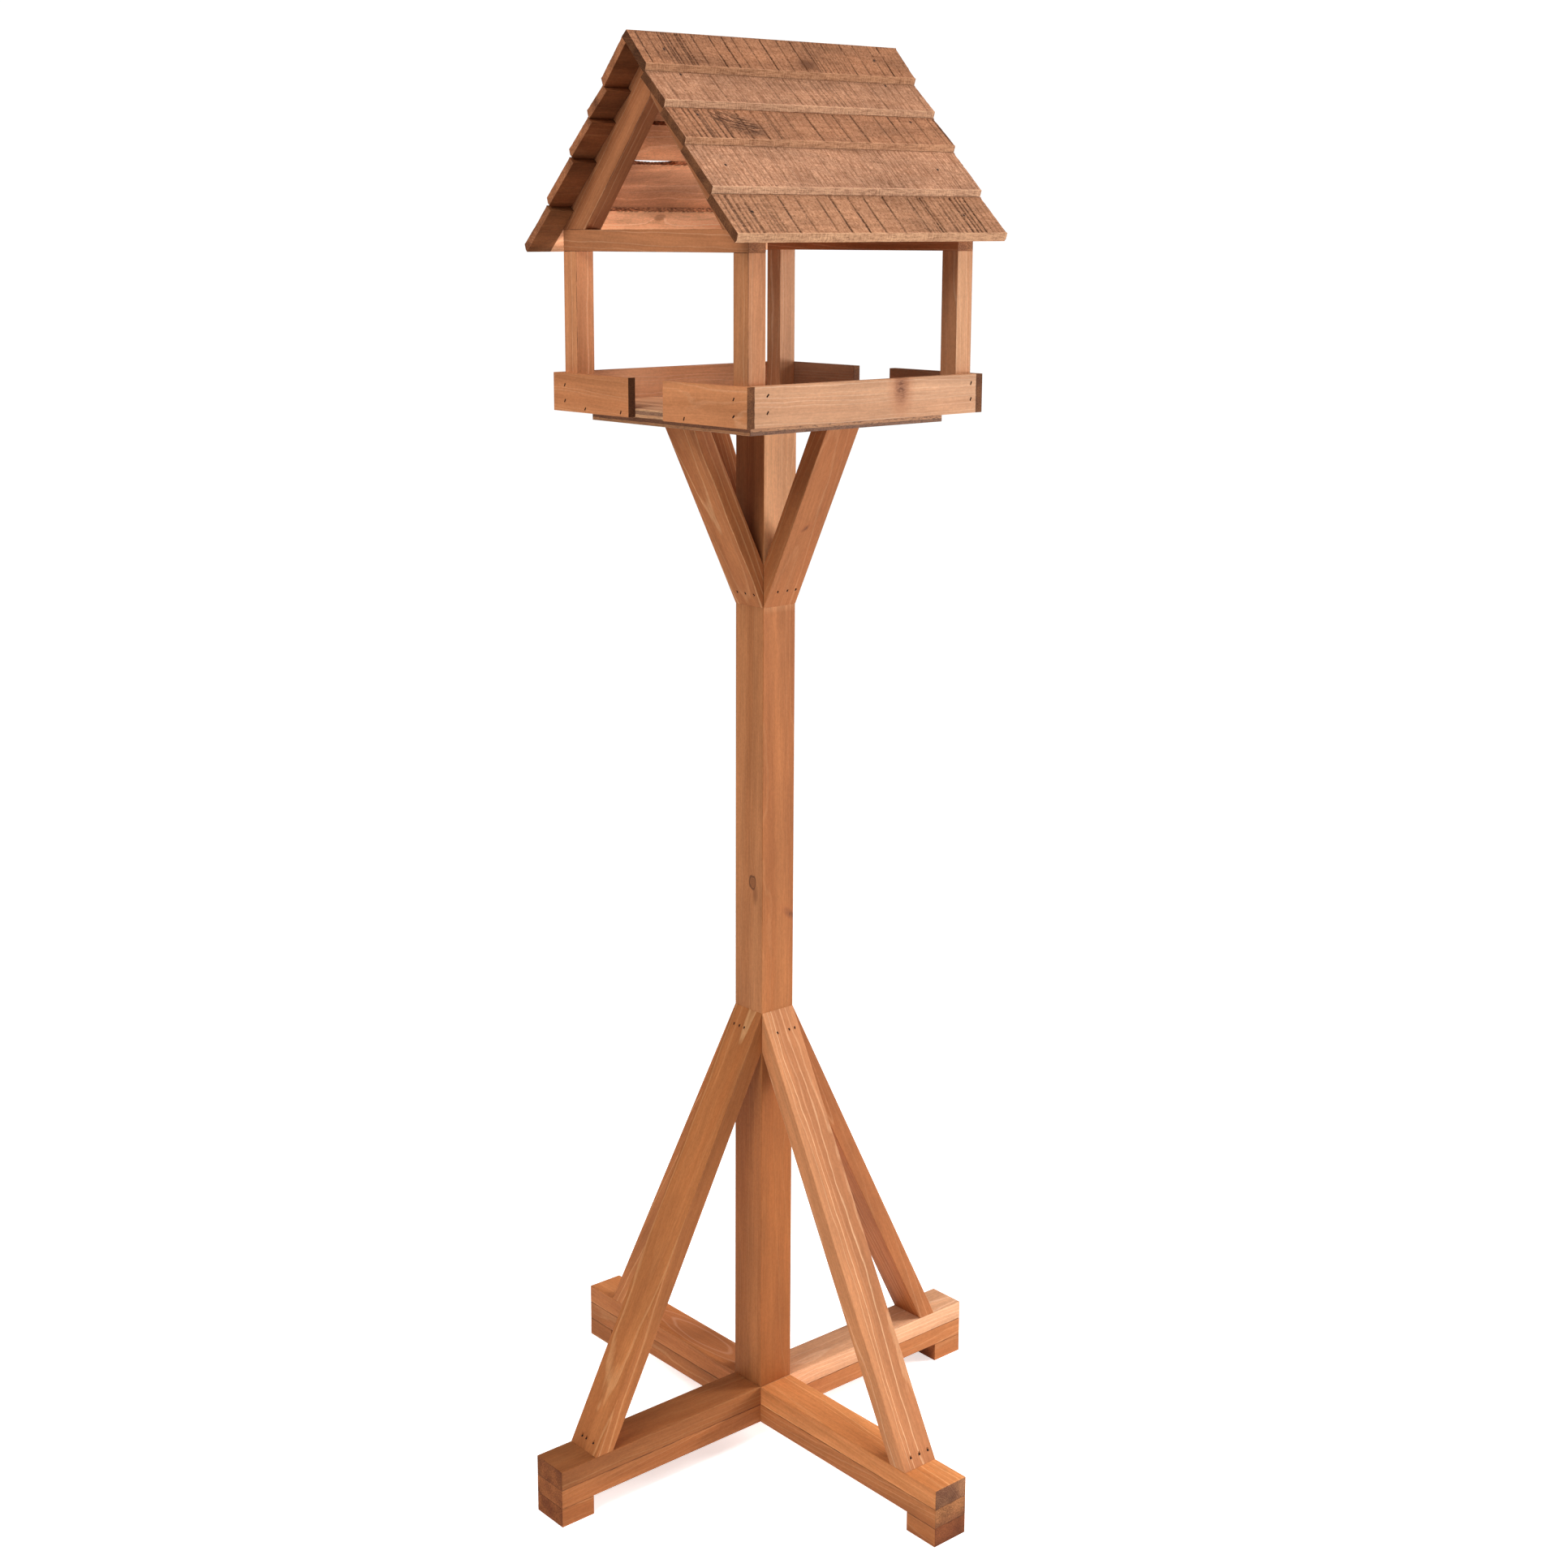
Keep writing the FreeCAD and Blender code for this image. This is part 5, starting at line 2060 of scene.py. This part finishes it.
        # Painted light between the rafters, on the boards that light reached through the open side
        tint = np.outer(lift, np.array(stain_of(node, UNDER_PAINTED_LIGHT)))
        # Painted shade outside the rafters, under the gable overhangs
        tint[(x < low + 1 * MM) | (x > high - 1 * MM)] = stain_of(node, OVERHANG_PAINTED_SHADE)
        write(mesh, "under_tint", tint)

    @staticmethod
    def saw_tree() -> bpy.types.NodeTree:
        """Build the Geometry Nodes tree that sinks saw kerfs and torn fibres into the sawn faces.

        Returns:
            The tree. It reads the attributes sawn and outside, stores saw and scored, and gives the outer
            faces their finish. Its seed picks the place in the noise.
        """
        tree, sketch = fresh_tree(
            "saw_relief", ("Kerf depth", "Kerf strength", "Fuzz depth", "Slant", "Line spacing", "Seed"))
        source = sketch.add("NodeGroupInput").outputs
        x, y, z = sketch.split(sketch.add("GeometryNodeInputPosition").outputs[0])
        moved = sketch.plus(x, source["Seed"])
        wander = sketch.sway([moved, y, z], (9, 22, 22), 1.0)
        saw = sketch.plus(moved, sketch.times(z, source["Slant"]))
        saw = sketch.plus(saw, sketch.times(wander, 3 * MM))
        saw = sketch.over(saw, source["Line spacing"])
        mask = sketch.stored("sawn", "FLOAT")
        outer_only = sketch.spread(mask, 0.55, 0.95, 0.0, 1.0)
        scored = sketch.times(outer_only, source["Kerf strength"])
        kerf = sketch.times(SawMarks().depth(sketch, saw, sketch.times(z, 1.3)), scored)
        fuzz = sketch.streaks([moved, y, z], (420, 420, 420), 2.0, 0.7)
        fuzz = sketch.times(sketch.times(fuzz, source["Fuzz depth"]), mask)
        sink = sketch.plus(sketch.times(kerf, source["Kerf depth"]), fuzz)
        shift = sketch.add("ShaderNodeVectorMath", operation="SCALE")
        sketch.feed(shift.inputs[0], sketch.add("GeometryNodeInputNormal").outputs[0])
        sketch.feed(shift.inputs["Scale"], sketch.times(sink, -1.0))
        shape = source["Geometry"]
        for name, value in (("saw", saw), ("scored", scored)):
            store = sketch.add("GeometryNodeStoreNamedAttribute", data_type="FLOAT", domain="POINT")
            for socket, item in (("Geometry", shape), ("Name", name), ("Value", value)):
                sketch.feed(store.inputs[socket], item)
            shape = store.outputs[0]
        move = sketch.add("GeometryNodeSetPosition")
        sketch.feed(move.inputs["Geometry"], shape)
        sketch.feed(move.inputs["Offset"], shift.outputs[0])
        sketch.end_tree(move.outputs[0], source["Finish"], sketch.stored("outside", "INT"))
        return tree


@dataclass(frozen=True)
class SoftBox:
    """A square area light that looks at the table."""

    name: str
    place: Point3
    size: float
    watts: float
    aim: Point3 = (0.0, 0.0, 0.8)

    def hang(self) -> None:
        """Put the light into the scene."""
        lamp = bpy.data.lights.new(self.name, "AREA")
        lamp.size = self.size
        lamp.energy = self.watts
        holder = bpy.data.objects.new(self.name, lamp)
        holder.location = self.place
        look = Vector(self.aim) - Vector(self.place)
        holder.rotation_euler = look.to_track_quat("-Z", "Y").to_euler()
        bpy.context.scene.collection.objects.link(holder)


@dataclass
class Studio:
    """The pale floor, the soft lights and the camera."""

    focal_pixels: float = 2738.192
    centre: Point2 = (870.0, 850.0)
    frame_pixels: float = 1932.0
    sensor_width: float = 36.0
    yaw: float = 50.465
    pitch: float = 11.663
    roll: float = 0.099
    eye: Point3 = (-1.542164, -1.768509, 1.351707)
    floor_radius: float = 4.0
    floor_fade: Point2 = (0.7, 2.6)
    boxes: tuple[SoftBox, ...] = (
        SoftBox("key", (2.4, -1.7, 2.2), 0.8, 25.0),
        SoftBox("low", (2.6, -1.4, 0.9), 0.7, 92.0),
        SoftBox("fill", (-2.3, -0.7, 3.0), 1.4, 66.0),
        SoftBox("top", (0.3, -0.2, 4.2), 1.6, 62.0))

    def build(self) -> None:
        """Set up the floor, the lights and the camera."""
        self.floor()
        self.lights()
        self.camera()

    def floor(self) -> None:
        """Lay a pale matt floor that fades into the white surroundings."""
        bpy.ops.mesh.primitive_circle_add(vertices=96, radius=self.floor_radius, fill_type="NGON")
        floor = bpy.context.object
        floor.name = "studio_floor"
        material, sketch, shader = fresh_material("pale_floor")
        place = sketch.add("ShaderNodeTexCoord").outputs["Object"]
        shade = sketch.spread(sketch.noise(place, 3.0, 2.0), 0.3, 0.7, 0.94, 0.955)
        dress(sketch, shader, sketch.grey(shade), 0.9, gloss=0.1)
        sketch.feed(shader.inputs["Alpha"], sketch.spread(sketch.length(place), *self.floor_fade, 1.0, 0.0))
        shader.inputs["Emission Color"].default_value = (1.0, 1.0, 1.0, 1.0)
        seen = sketch.add("ShaderNodeLightPath").outputs["Is Camera Ray"]
        sketch.feed(shader.inputs["Emission Strength"], sketch.spread(seen, 0.0, 1.0, 0.4, 0.6))
        floor.data.materials.append(material)

    def lights(self) -> None:
        """Set up a white surrounding, which lights less than it shows, and hang the soft boxes."""
        world = bpy.data.worlds.new("studio_world")
        bpy.context.scene.world = world
        world.use_nodes = True
        sketch = Sketch(world.node_tree)
        seen = sketch.add("ShaderNodeLightPath").outputs["Is Camera Ray"]
        backdrop = world.node_tree.nodes["Background"]
        backdrop.inputs["Color"].default_value = (1.0, 1.0, 1.0, 1.0)
        sketch.feed(backdrop.inputs["Strength"], sketch.spread(seen, 0.0, 1.0, 0.25, 1.05))
        for box in self.boxes:
            box.hang()
        bpy.context.scene.view_settings.view_transform = "Standard"

    def camera(self) -> None:
        """Stand the camera where the photograph was taken from."""
        yaw, pitch, roll = (math.radians(value) for value in (self.yaw, self.pitch, self.roll))
        ahead = Vector((math.cos(yaw) * math.cos(pitch), math.sin(yaw) * math.cos(pitch), -math.sin(pitch)))
        right = Vector((math.sin(yaw), -math.cos(yaw), 0.0))
        down = ahead.cross(right)
        right, down = (right * math.cos(roll) + down * math.sin(roll),
                       down * math.cos(roll) - right * math.sin(roll))
        turn = Matrix((right, -down, -ahead)).transposed()
        lens = bpy.data.cameras.new("camera")
        lens.sensor_width = self.sensor_width
        lens.lens = self.focal_pixels * self.sensor_width / self.frame_pixels
        lens.shift_x = (self.frame_pixels / 2 - self.centre[0]) / self.frame_pixels
        lens.shift_y = (self.centre[1] - self.frame_pixels / 2) / self.frame_pixels
        holder = bpy.data.objects.new("camera", lens)
        holder.matrix_world = Matrix.Translation(self.eye) @ turn.to_4x4()
        bpy.context.scene.collection.objects.link(holder)
        bpy.context.scene.camera = holder


def main() -> None:
    """Build the studio and every piece of the table in order."""
    logging.basicConfig(level=logging.INFO, format="%(name)s %(message)s")
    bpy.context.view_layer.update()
    Studio().build()
    finishes = Finishes()
    brads = BradKit()
    brads.read()
    joiner = Joiner(finishes, brads)
    for part in (Base(joiner), Stand(joiner), Tray(joiner), RoofFrame(joiner), Roof(joiner)):
        part.build()
    brads.build(finishes)


if __name__ == "__main__":
    main()
